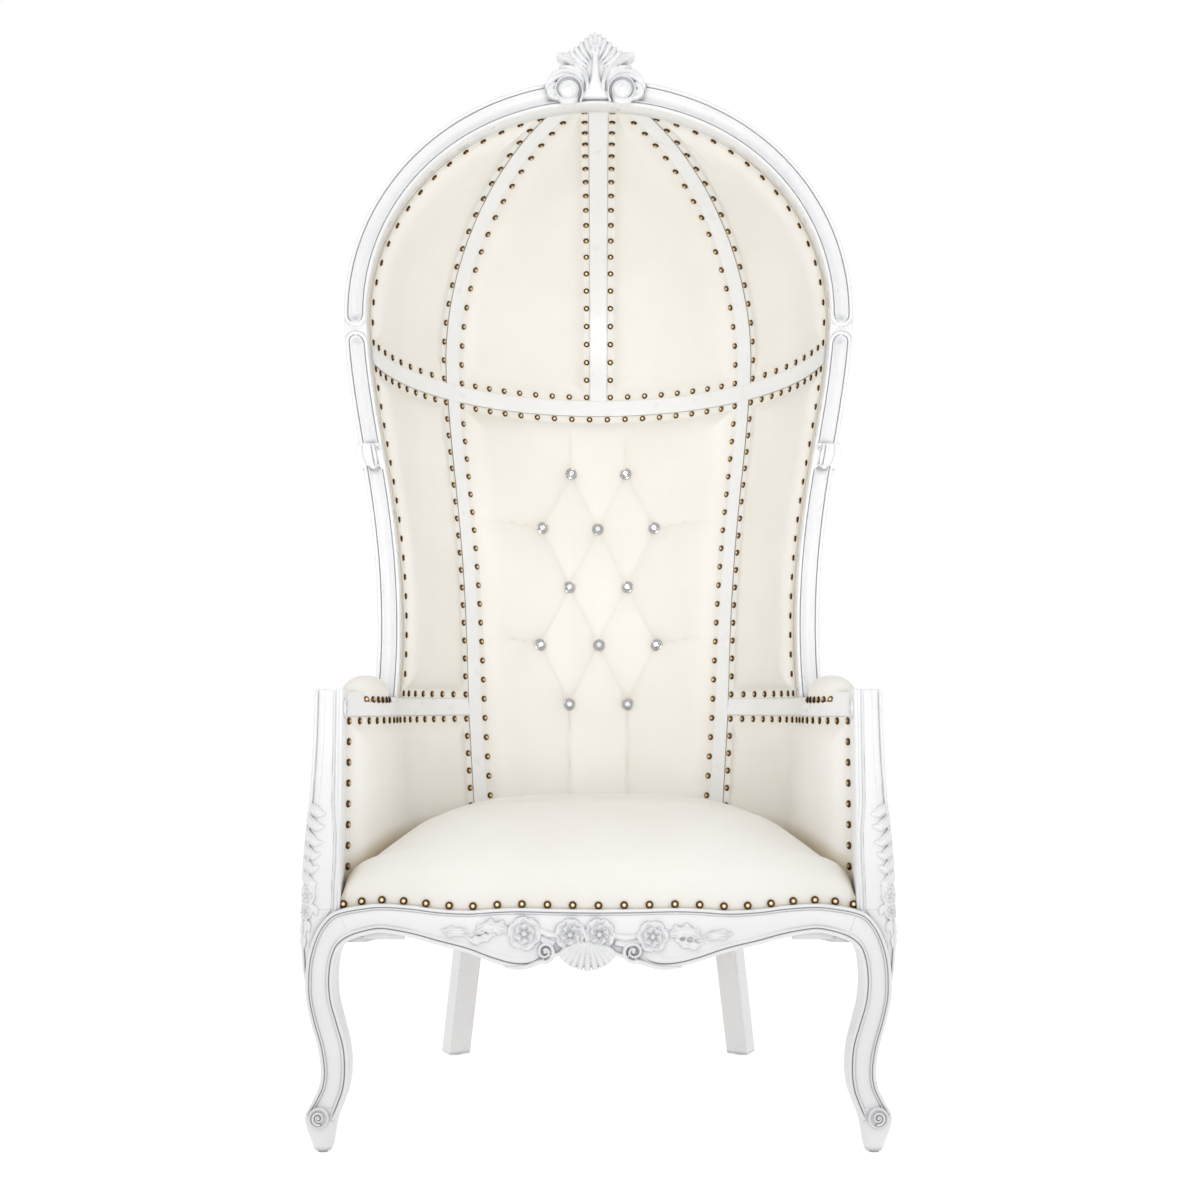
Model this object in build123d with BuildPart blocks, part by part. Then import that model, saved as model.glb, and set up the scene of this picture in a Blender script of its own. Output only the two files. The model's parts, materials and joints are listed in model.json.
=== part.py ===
"""Hooded throne chair: carved frame, ribbed half dome, tight leather panels.

Millimetres. +Z is up, the sitter faces -Y, and the origin lies on the floor
under the middle of the chair.
"""
from build123d import *
from functools import cache
from math import atan2, cos, degrees, radians, sin, sqrt, tan
import os

# Fits
clearance = 0.3
overrun = 20

# Hood: a half oval barrel that carries a half dome
hood_front = -133
ring_height = 1250
dome_half_width = 385
dome_depth = 500
spring_height = 1315
spring_half_width = 389
spring_depth = 505
dome_rise = 365
back_rake = 11.86
barrel_foot = 290
barrel_foot_half_width = 322
arm_level = 645
arm_level_half_width = 333
waist_level = 827
waist_half_width = 327.5
shoulder_level = 1000
shoulder_half_width = 345

# Frame members
wall = 34
rebate_depth = 6
rebate_width = 14
rib_width = 34
stile_width = 30
ring_band = 32
arm_band = 30
tenon_side = 10
tenon_length = 24
rear_tenon_x = 223.5
rear_tenon_y = 125

# Arch and hood posts
arch_depth = 46
arch_proud = 8
arch_width = 37
arch_reveal = 3
flange_inset = 2
groove_width = 3
groove_depth = 3
groove_inset = 6
collar_bottom = 1046
collar_height = 44
collar_proud = 5
node_height = 1285

# Where the ribs and stiles stand in plan
rib_front_x = 40
stile_top_x = 281
stile_top_y = 218
stile_foot_x = 211
stile_foot_y = 119

# Front posts, legs and rails
post_front = -395
post_back = -350
post_top = 672
post_half_space = 380
leg_top = 352
seat_deck = 340
rail_height = 42
rail_inset = 30
apron_front = -392
apron_thickness = 30
apron_lip = 6
arm_pad_rise = 42
arm_pad_width = 48
arm_pad_front = -302
arm_pad_back = -164
arm_seat_drop = 8
arm_front_rise = 7

# Rear legs
rear_leg_side = 40
rear_leg_turn = 27
rear_foot_x = 268
rear_foot_y = 250
rear_top_x = 228
rear_top_y = 134
glide_height = 3
glide_radius = 13

# Upholstery
border = 5.2
crown_depth = 12
back_crown = 22
pad_bevel = 9
outer_crown = 4
strap_width = 50
strap_thickness = 2.5
seat_rise = 160
seat_skin = 12

# Turns, in degrees, and how squarely a face looks inwards
upright = 90
facing_share = 0.75

# Buttons
button_radius = 12
button_height = 8
tuft_radius = 34
tuft_depth = 10
button_row_gap = 103
button_top_row = 1120
button_gap = 112
button_sides = 8
button_taper = 25
tuft_rows = 5

# Crest
crest_half_width = 92
crest_height = 112
crest_base = 1678
crest_face = 10
crest_relief = 5
crest_back = 23
crest_eye_radius = 11
crest_scroll_radius = 20
crest_scroll_width = 5
crest_stem_width = 22
crest_tenon_x = 30
crest_tenon_length = 14
crest_top_shares = [(0.0, 1.0), (0.076, 0.985), (0.185, 0.93), (0.272, 0.857), (0.33, 0.81)]
crest_lobe_shares = [(0.33, 0.81), (0.424, 0.84), (0.533, 0.777), (0.587, 0.715)]
crest_leaf_shares = [(0.587, 0.715), (0.7, 0.735), (0.79, 0.69)]
crest_side_shares = [(0.79, 0.69), (0.74, 0.56), (0.717, 0.446), (0.64, 0.375)]
crest_wing_shares = [(0.64, 0.375), (0.9, 0.39), (1.0, 0.143)]
crest_hem_shares = [(1.0, 0.143), (0.87, 0.02), (0.72, -0.045)]
crest_scroll_share = 0.57

# Garland on the front rail: across, up, and size, as shares
garland_depth = 8
garland_height = 318
garland_flower = 25
garland_leaf_length = 62
garland_leaf_width = 17
shell_height = 46
shell_rib = 5
shell_spread = 68
shell_ribs = 7
petals = 5
petal_share = 0.55
flower_shares = [(-0.29, 0.0, 0.95), (-0.137, 0.02, 1.0), (0.02, -0.03, 0.85), (0.21, 0.0, 0.95)]
leaf_shares = [(-0.6, -0.1, 12), (-0.44, 0.0, -14), (0.36, 0.0, 16), (0.52, -0.1, -10)]

# Seat underside
long_straps = 5
cross_straps = 5
strap_gap_share = 0.18
corner_block_side = 62
corner_block_height = 36

# Front outlines, as shares of the leg's spread and height
leg_spread = 436
post_moulding = 33
post_outer_shares = [(1.0, 0.0), (1.003, 0.16), (0.99, 0.41), (0.974, 0.62), (0.969, 0.82), (0.966, 1.0)]
leg_outer_shares = [(1.0, 1.0), (1.002, 0.87), (0.998, 0.74), (0.983, 0.633), (0.948, 0.47),
                    (0.927, 0.34), (0.934, 0.24), (0.958, 0.187), (0.976, 0.14)]
leg_inner_shares = [(0.889, 0.83), (0.887, 0.67), (0.877, 0.63), (0.856, 0.47), (0.853, 0.34),
                    (0.859, 0.235), (0.881, 0.148)]
foot_outer_share = 0.945
foot_inner_share = 0.885

# Side outlines, as shares of the post's depth ahead of its back, and height
leg_face_shares = [(1.0, 1.0), (1.2, 0.88), (1.22, 0.77), (1.12, 0.6), (0.86, 0.45), (0.78, 0.33),
                   (0.9, 0.22), (1.1, 0.145)]
leg_rear_shares = [(0.0, 1.0), (0.0, 0.8), (0.06, 0.62), (0.04, 0.45), (-0.04, 0.33), (-0.02, 0.22),
                   (0.06, 0.145)]
toe_share = 0.72

# Scroll on the foot, and the rosette on the post's inner side
scroll_share = 0.927
scroll_height = 53
scroll_radius = 17
scroll_eye_radius = 7
scroll_front = -402.5
rosette_radius = 14.5
rosette_height = 648
rosette_depth = 4

# Front rail, as shares of its half width, wave and drop
apron_top = 352
apron_wave = 8
apron_drop = 92
bead = 8
field_depth = 2
apron_top_shares = [(0.0, 0.0), (0.12, 0.0), (0.295, 0.3), (0.39, 0.15), (0.53, -0.2), (0.62, 0.15),
                    (0.787, 0.92), (0.91, 0.7), (1.0, 0.0)]
apron_low_shares = [(0.0, 0.62), (0.1, 0.64), (0.16, 0.72), (0.185, 0.83), (0.23, 0.91), (0.31, 0.92),
                    (0.386, 0.845), (0.5, 0.69), (0.66, 0.54), (0.765, 0.42), (0.83, 0.386),
                    (0.91, 0.413), (1.0, 0.53)]

# Seat
seat_back_y = 150
seat_corner = 60
seat_foam_half = 180
seat_foam_gap = 90
seat_foam_height = 70
seat_shares = [(0.0, 1.0), (0.22, 1.0), (0.5, 0.95), (0.78, 0.8), (0.94, 0.55), (1.0, 0.3)]
pad_shares = [(0.0, 0.55, 0.3), (0.1, 0.9, 0.8), (0.5, 1.0, 1.0), (0.9, 0.9, 0.8), (1.0, 0.55, 0.3)]

# Sizes that follow from the ones above
frame_inner = rebate_depth
post_flange_inner = rebate_depth + flange_inset
frame_outer = wall - rebate_depth
arch_inner = arch_reveal
arch_outer = arch_reveal + arch_width
groove_bands = ((arch_inner + groove_inset, arch_inner + groove_inset + groove_width),
                (arch_outer - groove_inset - groove_width, arch_outer - groove_inset))
arch_face = hood_front - arch_proud
arch_back = arch_face + arch_depth
dome_top = spring_height + dome_rise

pairs = {}
singles = {}


def common(part, *others):
    """What a piece shares with each of some single solids."""
    with BuildPart() as piece:
        add(part)
        for other in others:
            add(other, mode=Mode.INTERSECT)
    return piece.part


def cut(part, *others):
    """A piece less some others."""
    with BuildPart() as piece:
        add(part)
        for other in others:
            add(other, mode=Mode.SUBTRACT)
    return piece.part


def joined(part, *others):
    """Several solids made into one piece."""
    with BuildPart() as piece:
        add(part)
        for other in others:
            add(other)
    return piece.part


def mirrored(part):
    """The same piece on the other side of the chair."""
    return mirror(part, about=Plane.YZ)


def barrel_levels():
    """Height, half width and depth of the barrel's ovals, from the seat up."""
    heights = [barrel_foot, arm_level, waist_level, shoulder_level, ring_height]
    widths = [barrel_foot_half_width, arm_level_half_width, waist_half_width,
              shoulder_half_width, dome_half_width]
    slope = tan(radians(back_rake))
    levels = [(z, w, dome_depth - (ring_height - z) * slope) for z, w in zip(heights, widths)]
    return levels + [(spring_height, spring_half_width, spring_depth)]


def oval_at(z):
    """Half width and depth of the barrel at a height, between its ovals."""
    levels = barrel_levels()
    for low, high in zip(levels, levels[1:]):
        if z <= high[0]:
            break
    share = (z - low[0]) / (high[0] - low[0])
    return low[1] + share * (high[1] - low[1]), low[2] + share * (high[2] - low[2])


@cache
def hood_body(grow):
    """The space inside the hood, grown by a distance."""
    room = 2 * (spring_depth + grow)
    ball = scale(Sphere(1), by=(spring_half_width + grow, spring_depth + grow, dome_rise + grow))
    dome = Pos(0, hood_front, spring_height) * ball
    quarter = Pos(0, hood_front, spring_height) * Box(
        room, room, room, align=(Align.CENTER, Align.MIN, Align.MIN))
    levels = barrel_levels()
    with BuildPart() as barrel:
        for stretch in (levels[:2], levels[1:]):
            for z, half_width, depth in stretch:
                with BuildSketch(Plane.XY.offset(z)):
                    with BuildLine():
                        oval = EllipticalCenterArc((0, hood_front), half_width + grow, depth + grow,
                                                   start_angle=0, arc_size=180)
                        Line(oval @ 1, oval @ 0)
                    make_face()
            loft()
        add(dome & quarter)
    return barrel.part


@cache
def hood_shell(inner, outer):
    """The hood's wall between two distances from its inner face."""
    return cut(hood_body(outer), hood_body(inner))


@cache
def arm_body(grow):
    """The space between the arms and inside the lower back, grown."""
    levels = barrel_levels()
    low = levels[0]
    rise = (post_top + overrun - low[0]) / (levels[1][0] - low[0])
    high = [a + rise * (b - a) for a, b in zip(low, levels[1])]
    front_y = post_front - overrun
    with BuildPart() as body:
        for z, half_width, depth in (low, high):
            with BuildSketch(Plane.XY.offset(z)):
                with BuildLine():
                    oval = EllipticalCenterArc((0, hood_front), half_width + grow, depth + grow,
                                               start_angle=0, arc_size=180)
                    left = TangentArc(oval @ 1, (-post_half_space - grow, post_back), tangent=(0, -1))
                    cheek = Line(left @ 1, (-post_half_space - grow, front_y))
                    front = Line(cheek @ 1, (post_half_space + grow, front_y))
                    other = Line(front @ 1, (post_half_space + grow, post_back))
                    TangentArc(oval @ 0, other @ 1, tangent=(0, -1))
                make_face()
        loft(ruled=True)
    return body.part


@cache
def arm_shell(inner, outer):
    """The wall of the arms and lower back between two distances."""
    return cut(arm_body(outer), arm_body(inner))


def arm_middle(y):
    """The x of the arm rail's middle at a depth ahead of the hood."""
    start = arm_level_half_width
    flare = post_half_space - start
    run = hood_front - post_back
    radius = (flare ** 2 + run ** 2) / (2 * flare)
    return start + radius - sqrt(radius ** 2 - (hood_front - y) ** 2) + wall / 2


def block(x0, x1, y0, y1, z0, z1):
    """A box between two corners."""
    with BuildPart() as box:
        with BuildSketch(Plane.XY.offset(z0)):
            with Locations(((x0 + x1) / 2, (y0 + y1) / 2)):
                Rectangle(x1 - x0, y1 - y0)
        extrude(amount=z1 - z0)
    return box.part


def slab(line, width, z0, z1):
    """An upright board along a line in plan, a given width across it."""
    start, end = line
    run = Vector(end[0] - start[0], end[1] - start[1])
    centre = ((start[0] + end[0]) / 2, (start[1] + end[1]) / 2)
    with BuildPart() as board:
        with BuildSketch(Plane.XY.offset(z0)):
            with Locations(Location(centre, degrees(atan2(run.Y, run.X)))):
                Rectangle(run.length, width)
        extrude(amount=z1 - z0)
    return board.part


def prism(points, z0, z1):
    """An upright block with a plan of straight sides."""
    with BuildPart() as column:
        with BuildSketch(Plane.XY.offset(z0)):
            with BuildLine():
                Polyline(*points, close=True)
            make_face()
        extrude(amount=z1 - z0)
    return column.part


def stretched(line, distance=0):
    """A plan line lengthened at both ends, or one beside it on its left."""
    (x0, y0), (x1, y1) = line
    run = Vector(x1 - x0, y1 - y0).normalized()
    reach = run * 4 * wall
    side = Vector(-run.Y, run.X) * distance
    return ((x0 - reach.X + side.X, y0 - reach.Y + side.Y),
            (x1 + reach.X + side.X, y1 + reach.Y + side.Y))


def at_y(line, y):
    """The point of a straight plan line at a given y."""
    (x0, y0), (x1, y1) = line
    return x0 + (y - y0) * (x1 - x0) / (y1 - y0), y


def beside(line, z0, z1):
    """The room on the side-panel side of a plan line."""
    return prism([line[0], line[1], (far, far), (far, -far), (0, -far)], z0, z1)


rib_line = ((rib_front_x, hood_front), (stile_top_x, stile_top_y))
stile_line = ((stile_foot_x, stile_foot_y), (stile_top_x, stile_top_y))
stile_band = stile_width + 2 * rebate_width
rib_band = rib_width + 2 * rebate_width
ring_low = ring_height - ring_band / 2
ring_high = ring_height + ring_band / 2
arm_low = arm_level - arm_band / 3
arm_high = arm_low + arm_band
arm_dip = arm_high - arm_seat_drop
far = 2 * spring_depth
roof = dome_top + overrun


def wall_point(line, z, depth=wall / 2):
    """Where a plan line crosses the hood's wall, a given way into it."""
    (x0, y0), (x1, y1) = line
    half_width, reach = oval_at(z)
    a = half_width + depth
    b = reach + depth
    dx, dy = (x1 - x0) / a, (y1 - y0) / b
    px, py = x0 / a, (y0 - hood_front) / b
    square, cross, rest = dx * dx + dy * dy, px * dx + py * dy, px * px + py * py - 1
    share = (-cross + sqrt(cross * cross - square * rest)) / square
    return x0 + share * (x1 - x0), y0 + share * (y1 - y0), z


def t_member(shell, face_cutter, flange_cutter):
    """A rail with a full-depth middle and rebated edges for the panels."""
    middle = common(shell(0, wall), face_cutter)
    return joined(common(shell(frame_inner, frame_outer), flange_cutter), middle)


def make_ribs():
    """Three dome ribs that run from the ring to the back of the arch."""
    room = block(-far, far, arch_back, far, ring_high, roof)
    centre = t_member(hood_shell,
                      block(-rib_width / 2, rib_width / 2, arch_back, far, ring_high, roof),
                      block(-rib_band / 2, rib_band / 2, arch_back, far, ring_high, roof))
    line = stretched(rib_line)
    side = t_member(hood_shell,
                    common(slab(line, rib_width, ring_high, roof), room),
                    common(slab(line, rib_band, ring_high, roof), room))
    singles["dome_rib_centre"] = centre
    pairs["dome_rib"] = cut(side, centre)


def make_ring():
    """The ring rail under the dome, in three lengths butted at the stiles."""
    low_flange = ring_low - rebate_width
    high_flange = ring_high + rebate_width
    band = t_member(hood_shell,
                    block(-far, far, arch_back, far, ring_low, ring_high),
                    block(-far, far, arch_back, far, low_flange, high_flange))
    line = stretched(stile_line)
    rib_clear = slab(stretched(rib_line), rib_band, ring_high, high_flange + overrun)
    centre_clear = block(-rib_band / 2, rib_band / 2, 0, far, ring_high, high_flange + overrun)
    stile_clear = slab(line, stile_band, low_flange - overrun, ring_low)
    band = cut(band, rib_clear, mirrored(rib_clear), centre_clear, stile_clear, mirrored(stile_clear))
    side_zone = beside(line, low_flange - overrun, high_flange + overrun)
    pairs["ring_side"] = common(band, side_zone)
    singles["ring_back"] = cut(band, side_zone, mirrored(side_zone))


def make_stiles():
    """The two raked back stiles, from the seat to the ring."""
    line = stretched(stile_line)
    right_half = block(0, far, 0, far, seat_deck, ring_low)
    stile = t_member(hood_shell,
                     common(slab(line, stile_width, seat_deck, ring_low), right_half),
                     common(slab(line, stile_band, seat_deck, ring_low), right_half))
    arm_room = beside(stretched(stile_line, -stile_width / 2), arm_low, arm_high)
    pairs["back_stile"] = cut(stile, arm_room)


def front_room(grow, floor):
    """The arch opening in the front plane, grown, above a given height."""
    share = (floor - ring_height) / (spring_height - ring_height)
    foot = dome_half_width + share * (spring_half_width - dome_half_width) + grow
    with BuildSketch(Plane.XZ) as room:
        with BuildLine():
            oval = EllipticalCenterArc((0, spring_height), spring_half_width + grow,
                                       dome_rise + grow, start_angle=0, arc_size=90)
            side = Line(oval @ 0, (foot, floor))
            base = Line(side @ 1, (0, floor))
            Line(base @ 1, oval @ 1)
        make_face()
    return room.sketch


def front_band(inner, outer, floor):
    """A band of the front plane that follows the arch."""
    with BuildSketch(Plane.XZ) as band:
        add(front_room(outer, floor))
        add(front_room(inner, floor), mode=Mode.SUBTRACT)
    return band.sketch


def post_edge(grow):
    """Points of the hood post's edge in the front plane, from the foot up."""
    edge = [(w + grow, z) for z, w, _ in barrel_levels()[1:5]]
    share = (node_height - ring_height) / (spring_height - ring_height)
    head = dome_half_width + share * (spring_half_width - dome_half_width) + grow
    return [(edge[0][0], arm_high)] + edge[1:] + [(head, node_height)]


def front_strip(inner, outer):
    """A strip of the front face that follows the hood post."""
    with BuildSketch(Plane.XZ) as strip:
        with BuildLine():
            inside = Spline(*post_edge(inner))
            outside = Spline(*post_edge(outer))
            Line(inside @ 0, outside @ 0)
            Line(inside @ 1, outside @ 1)
        make_face()
    return strip.sketch


def at_depth(sketch, front, back):
    """A front-plane outline given thickness between two depths."""
    with BuildPart() as plate:
        extrude(Pos(0, back, 0) * sketch, amount=back - front, dir=(0, -1, 0))
    return plate.part


def make_arch():
    """The hood's front arch in two halves, with its rebate and mouldings."""
    bar = at_depth(front_band(arch_inner, arch_outer, node_height), arch_face, arch_back)
    grooves = [at_depth(front_band(inner, outer, node_height), arch_face, arch_face + groove_depth)
               for inner, outer in groove_bands]
    flange = common(hood_shell(frame_inner, frame_outer),
                    block(0, far, arch_back, arch_back + rebate_width, node_height, roof))
    flange = cut(flange, slab(stretched(rib_line), rib_band, node_height, roof),
                 block(0, at_y(rib_line, arch_back)[0], arch_back, 0, node_height, roof))
    pairs["arch"] = joined(cut(bar, *grooves), flange)


def make_hood_posts():
    """The posts between the arms and the arch, and the collars round them."""
    bar = at_depth(front_strip(arch_inner, arch_outer), arch_face, arch_back)
    grooves = [at_depth(front_strip(inner, outer), arch_face, arch_face + groove_depth)
               for inner, outer in groove_bands]
    flange = common(hood_shell(post_flange_inner, frame_outer),
                    block(0, far, arch_back - rebate_depth, arch_back + rebate_width,
                          arm_high + rebate_width, node_height))
    flange = cut(flange, block(0, far, arch_back, 0, ring_low - rebate_width, ring_high + rebate_width))
    post = joined(cut(bar, *grooves), flange)
    pairs["hood_post"] = post
    middle = collar_bottom + collar_height / 2
    half_width, _ = oval_at(middle)
    inner_x = half_width + arch_inner + groove_inset
    outer_x = half_width + arch_outer
    low, high = collar_bottom, collar_bottom + collar_height
    lean = collar_proud
    with BuildSketch(Plane.XZ) as outline:
        with BuildLine():
            inside = ThreePointArc((inner_x - lean, low), (inner_x - lean / 2, middle),
                                   (inner_x + lean, high))
            outside = ThreePointArc((outer_x - lean, low), (outer_x + 2 * lean, middle),
                                    (outer_x + lean, high))
            Line(inside @ 0, outside @ 0)
            Line(inside @ 1, outside @ 1)
        make_face()
    collar = at_depth(outline.sketch, arch_face - collar_proud, arch_back - collar_proud)
    pairs["hood_collar"] = cut(collar, post)


def side_profile(points, x0, x1):
    """A side-view outline of straight runs given thickness across the chair."""
    with BuildPart() as plate:
        with BuildSketch(Plane.YZ.offset(x0)):
            with BuildLine():
                Polyline(*points, close=True)
            make_face()
        extrude(amount=x1 - x0)
    return plate.part


def make_arms():
    """The arm rails, from the front posts round to the stiles."""
    top = arm_high + arm_front_rise
    step = arm_front_rise
    run = [(post_back, arm_low), (far, arm_low), (far, arm_high), (arm_pad_back + step, arm_high),
           (arm_pad_back, arm_dip), (arm_pad_front, arm_dip), (arm_pad_front - step, top), (post_back, top)]
    rail = common(arm_shell(0, wall), side_profile(run, 0, far),
                  beside(stretched(stile_line, -stile_width / 2), 0, roof))
    flange_zone = beside(stretched(stile_line, -stile_band / 2), 0, roof)
    low_flange = common(arm_shell(frame_inner, frame_outer),
                        block(0, far, post_back, far, arm_low - rebate_width, arm_low), flange_zone)
    high_flange = common(hood_shell(frame_inner, frame_outer),
                         block(0, far, arch_back + rebate_width, far, arm_high, arm_high + rebate_width),
                         flange_zone)
    pairs["arm_rail"] = joined(rail, low_flange, high_flange)


def make_arm_pads():
    """The domed leather pads let into the tops of the arms."""
    run = arm_pad_back - arm_pad_front
    with BuildPart() as pad:
        for along, wide, rise in pad_shares:
            y = arm_pad_front + along * run
            with BuildSketch(Plane.XZ.offset(-y)):
                with BuildLine():
                    dome = EllipticalCenterArc((arm_middle(y), arm_dip), arm_pad_width * wide / 2,
                                               arm_pad_rise * rise, start_angle=0, arc_size=180)
                    Line(dome @ 1, dome @ 0)
                make_face()
        loft(ruled=True)
    pairs["arm_pad"] = pad.part


def edge_strip(edge, inset):
    """A groove's width of the front plane, a given way in from an edge."""
    reach = groove_width if inset > 0 else -groove_width
    with BuildSketch(Plane.XZ) as strip:
        with BuildLine():
            first = Spline(*[(x - inset, z) for x, z in edge])
            second = Spline(*[(x - inset - reach, z) for x, z in edge])
            Line(first @ 0, second @ 0)
            Line(first @ 1, second @ 1)
        make_face()
    return strip.sketch


def make_front_posts():
    """The posts that carry the arms, over the front legs."""
    rise = post_top - leg_top
    edge = [(leg_spread * x, leg_top + rise * z) for x, z in post_outer_shares]
    with BuildSketch(Plane.XZ) as outline:
        with BuildLine():
            outside = Spline(*edge)
            foot = Line((post_half_space, leg_top), outside @ 0)
            inside = Line(foot @ 0, (post_half_space, post_top - arm_front_rise))
            ThreePointArc(inside @ 1, ((post_half_space + leg_spread) / 2, post_top + arm_front_rise),
                          outside @ 1)
        make_face()
    post = at_depth(outline.sketch, post_front, post_back)
    grooves = [at_depth(edge_strip(edge, inset), post_front, post_front + groove_depth)
               for inset in (groove_inset, post_moulding)]
    middle = ((post_front + post_back) / 2, rosette_height)
    with BuildPart() as rosette:
        with BuildSketch(Plane.YZ.offset(post_half_space - rosette_depth)):
            with Locations(middle):
                Circle(rosette_radius)
                Circle(rosette_radius * petal_share, mode=Mode.SUBTRACT)
        extrude(amount=2 * rosette_depth)
        with BuildSketch(Plane.YZ.offset(post_half_space - rosette_depth / 2)):
            with Locations(middle):
                Circle(rosette_radius)
        extrude(amount=rosette_depth)
    pairs["arm_post"] = joined(cut(post, *grooves), rosette.part)


def make_front_legs():
    """Cabriole front legs, cut from a front and a side outline."""
    outer = [(leg_spread * x, leg_top * z) for x, z in leg_outer_shares]
    inner = [(leg_spread * x, leg_top * z) for x, z in leg_inner_shares]
    with BuildSketch(Plane.XZ) as front:
        with BuildLine():
            outside = Spline(*outer)
            toe = Line(outside @ 1, (leg_spread * foot_outer_share, 0))
            sole = Line(toe @ 1, (leg_spread * foot_inner_share, 0))
            Line(sole @ 1, inner[-1])
            inside = Spline(*inner)
            shoulder = Line(inside @ 0, (post_half_space, inner[0][1]))
            back = Line(shoulder @ 1, (post_half_space, leg_top))
            Line(back @ 1, outside @ 0)
        make_face()
    depth = post_back - post_front
    face = [(post_back - depth * y, leg_top * z) for y, z in leg_face_shares]
    rear = [(post_back - depth * y, leg_top * z) for y, z in leg_rear_shares]
    with BuildPart() as side:
        with BuildSketch(Plane.YZ.offset(post_half_space - overrun)):
            with BuildLine():
                ahead = Spline(*face)
                toe = Line(ahead @ 1, (post_back - depth * toe_share, 0))
                sole = Line(toe @ 1, (rear[-1][0], 0))
                Line(sole @ 1, rear[-1])
                behind = Spline(*rear)
                Line(behind @ 0, ahead @ 0)
            make_face()
        extrude(amount=leg_spread)
    leg = common(at_depth(front.sketch, post_front - overrun, post_back + overrun), side.part)
    rail_room = block(0, far, post_back, far, seat_deck - rail_height, leg_top)
    behind_face = Pos(0, groove_depth, 0) * side.part
    grooves = [cut(at_depth(edge_strip(edge, inset), post_front - overrun, post_back), behind_face)
               for edge, inset in ((outer, groove_inset), (inner, -groove_inset))]
    with BuildSketch(Plane.XZ) as scroll:
        with Locations((leg_spread * scroll_share, scroll_height)):
            Circle(scroll_radius)
    disc = at_depth(scroll.sketch, scroll_front, post_back - overrun)
    with BuildSketch(Plane.XZ) as ring:
        with Locations((leg_spread * scroll_share, scroll_height)):
            Circle(scroll_radius - scroll_eye_radius / 2)
            Circle(scroll_eye_radius, mode=Mode.SUBTRACT)
    carved = at_depth(ring.sketch, scroll_front, scroll_front + groove_depth)
    leg = joined(cut(leg, rail_room, *grooves), disc)
    pairs["front_leg"] = cut(leg, carved)


def apron_top_edge():
    """The waved top of the front rail, from the middle to the right post."""
    return [(post_half_space * x, apron_top + apron_wave * z) for x, z in apron_top_shares]


def apron_low_edge():
    """The shaped underside of the front rail, from the middle outwards."""
    return [(post_half_space * x, apron_top - apron_drop * z) for x, z in apron_low_shares]


def make_front_rail():
    """The serpentine front rail, with a lip in front of the seat."""
    with BuildSketch(Plane.XZ) as half:
        with BuildLine():
            crest_line = Spline(*apron_top_edge())
            hem = Spline(*apron_low_edge())
            Line(crest_line @ 1, hem @ 1)
            Line(crest_line @ 0, hem @ 0)
        make_face()
    with BuildSketch(Plane.XZ) as field:
        with BuildLine():
            low = Spline(*[(x, z + bead) for x, z in apron_low_edge()])
            high = Spline(*[(x, z - bead) for x, z in apron_top_edge()])
            Line(low @ 0, high @ 0)
            Line(low @ 1, high @ 1)
        make_face()
    lip = at_depth(half.sketch, apron_front, apron_front + apron_lip)
    lip = cut(lip, at_depth(field.sketch, apron_front, apron_front + field_depth))
    core = common(at_depth(half.sketch, apron_front + apron_lip, apron_front + apron_thickness),
                  block(0, far, -far, far, 0, seat_deck))
    right = joined(lip, core)
    singles["front_rail"] = joined(right, mirrored(right))


def make_garland():
    """Carved flowers, leaves and a ribbed shell on the front rail's face."""
    with BuildSketch(Plane.XZ) as low:
        for across, up, size in flower_shares:
            with Locations((post_half_space * across, garland_height + garland_flower * up)):
                RegularPolygon(garland_flower * size, 2 * petals)
        for across, up, turn in leaf_shares:
            with Locations(Location((post_half_space * across, garland_height + garland_flower * up), turn)):
                Rectangle(garland_leaf_length, garland_leaf_width / 2)
                Rectangle(garland_leaf_length / 2, garland_leaf_width)
    with BuildSketch(Plane.XZ) as high:
        for across, up, size in flower_shares:
            with Locations((post_half_space * across, garland_height + garland_flower * up)):
                RegularPolygon(garland_flower * size * petal_share, petals)
    base = apron_low_edge()[0][1] + bead
    steps = 2 * shell_ribs
    fan = [(0, base)]
    for step in range(steps + 1):
        slope = radians(shell_spread * (2 * step / steps - 1))
        reach = shell_height if step % 2 else shell_height - shell_rib
        fan.append((reach * sin(slope), base + reach * cos(slope)))
    with BuildSketch(Plane.XZ) as shell:
        with BuildLine():
            Polyline(*fan, close=True)
        make_face()
    floor = apron_front + field_depth
    face = floor - garland_depth
    carving = joined(at_depth(low.sketch, face, floor),
                     at_depth(high.sketch, face - field_depth, floor),
                     at_depth(shell.sketch, face - field_depth, floor))
    singles["apron_garland"] = cut(carving, singles["front_rail"])


def rear_leg_head(low, high, grow):
    """The upright room that a rear leg's head takes between the rails."""
    with BuildPart() as head:
        with BuildSketch(Plane.XY.offset(low)):
            with Locations(Location((rear_top_x, rear_top_y), -rear_leg_turn)):
                Rectangle(rear_leg_side + 2 * grow, rear_leg_side + 2 * grow)
        extrude(amount=high - low)
    return head.part


def make_seat_rails():
    """Side rails and back rail, each with a rebate for the panels above."""
    low = seat_deck - rail_height
    line = stretched(stile_line)
    leg_room = rear_leg_head(low - overrun, seat_deck, clearance)
    core = common(arm_shell(-rail_inset, wall), block(0, far, post_back, far, low, seat_deck))
    flange = common(arm_shell(frame_inner, frame_outer),
                    block(0, far, post_back, far, seat_deck, seat_deck + rebate_width))
    flange = cut(flange, slab(line, stile_band, seat_deck, roof))
    rails = cut(joined(core, flange), leg_room)
    side_zone = beside(line, 0, roof)
    pairs["side_rail"] = common(rails, side_zone)
    back = cut(rails, side_zone)
    singles["back_rail"] = joined(back, mirrored(back))


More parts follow.
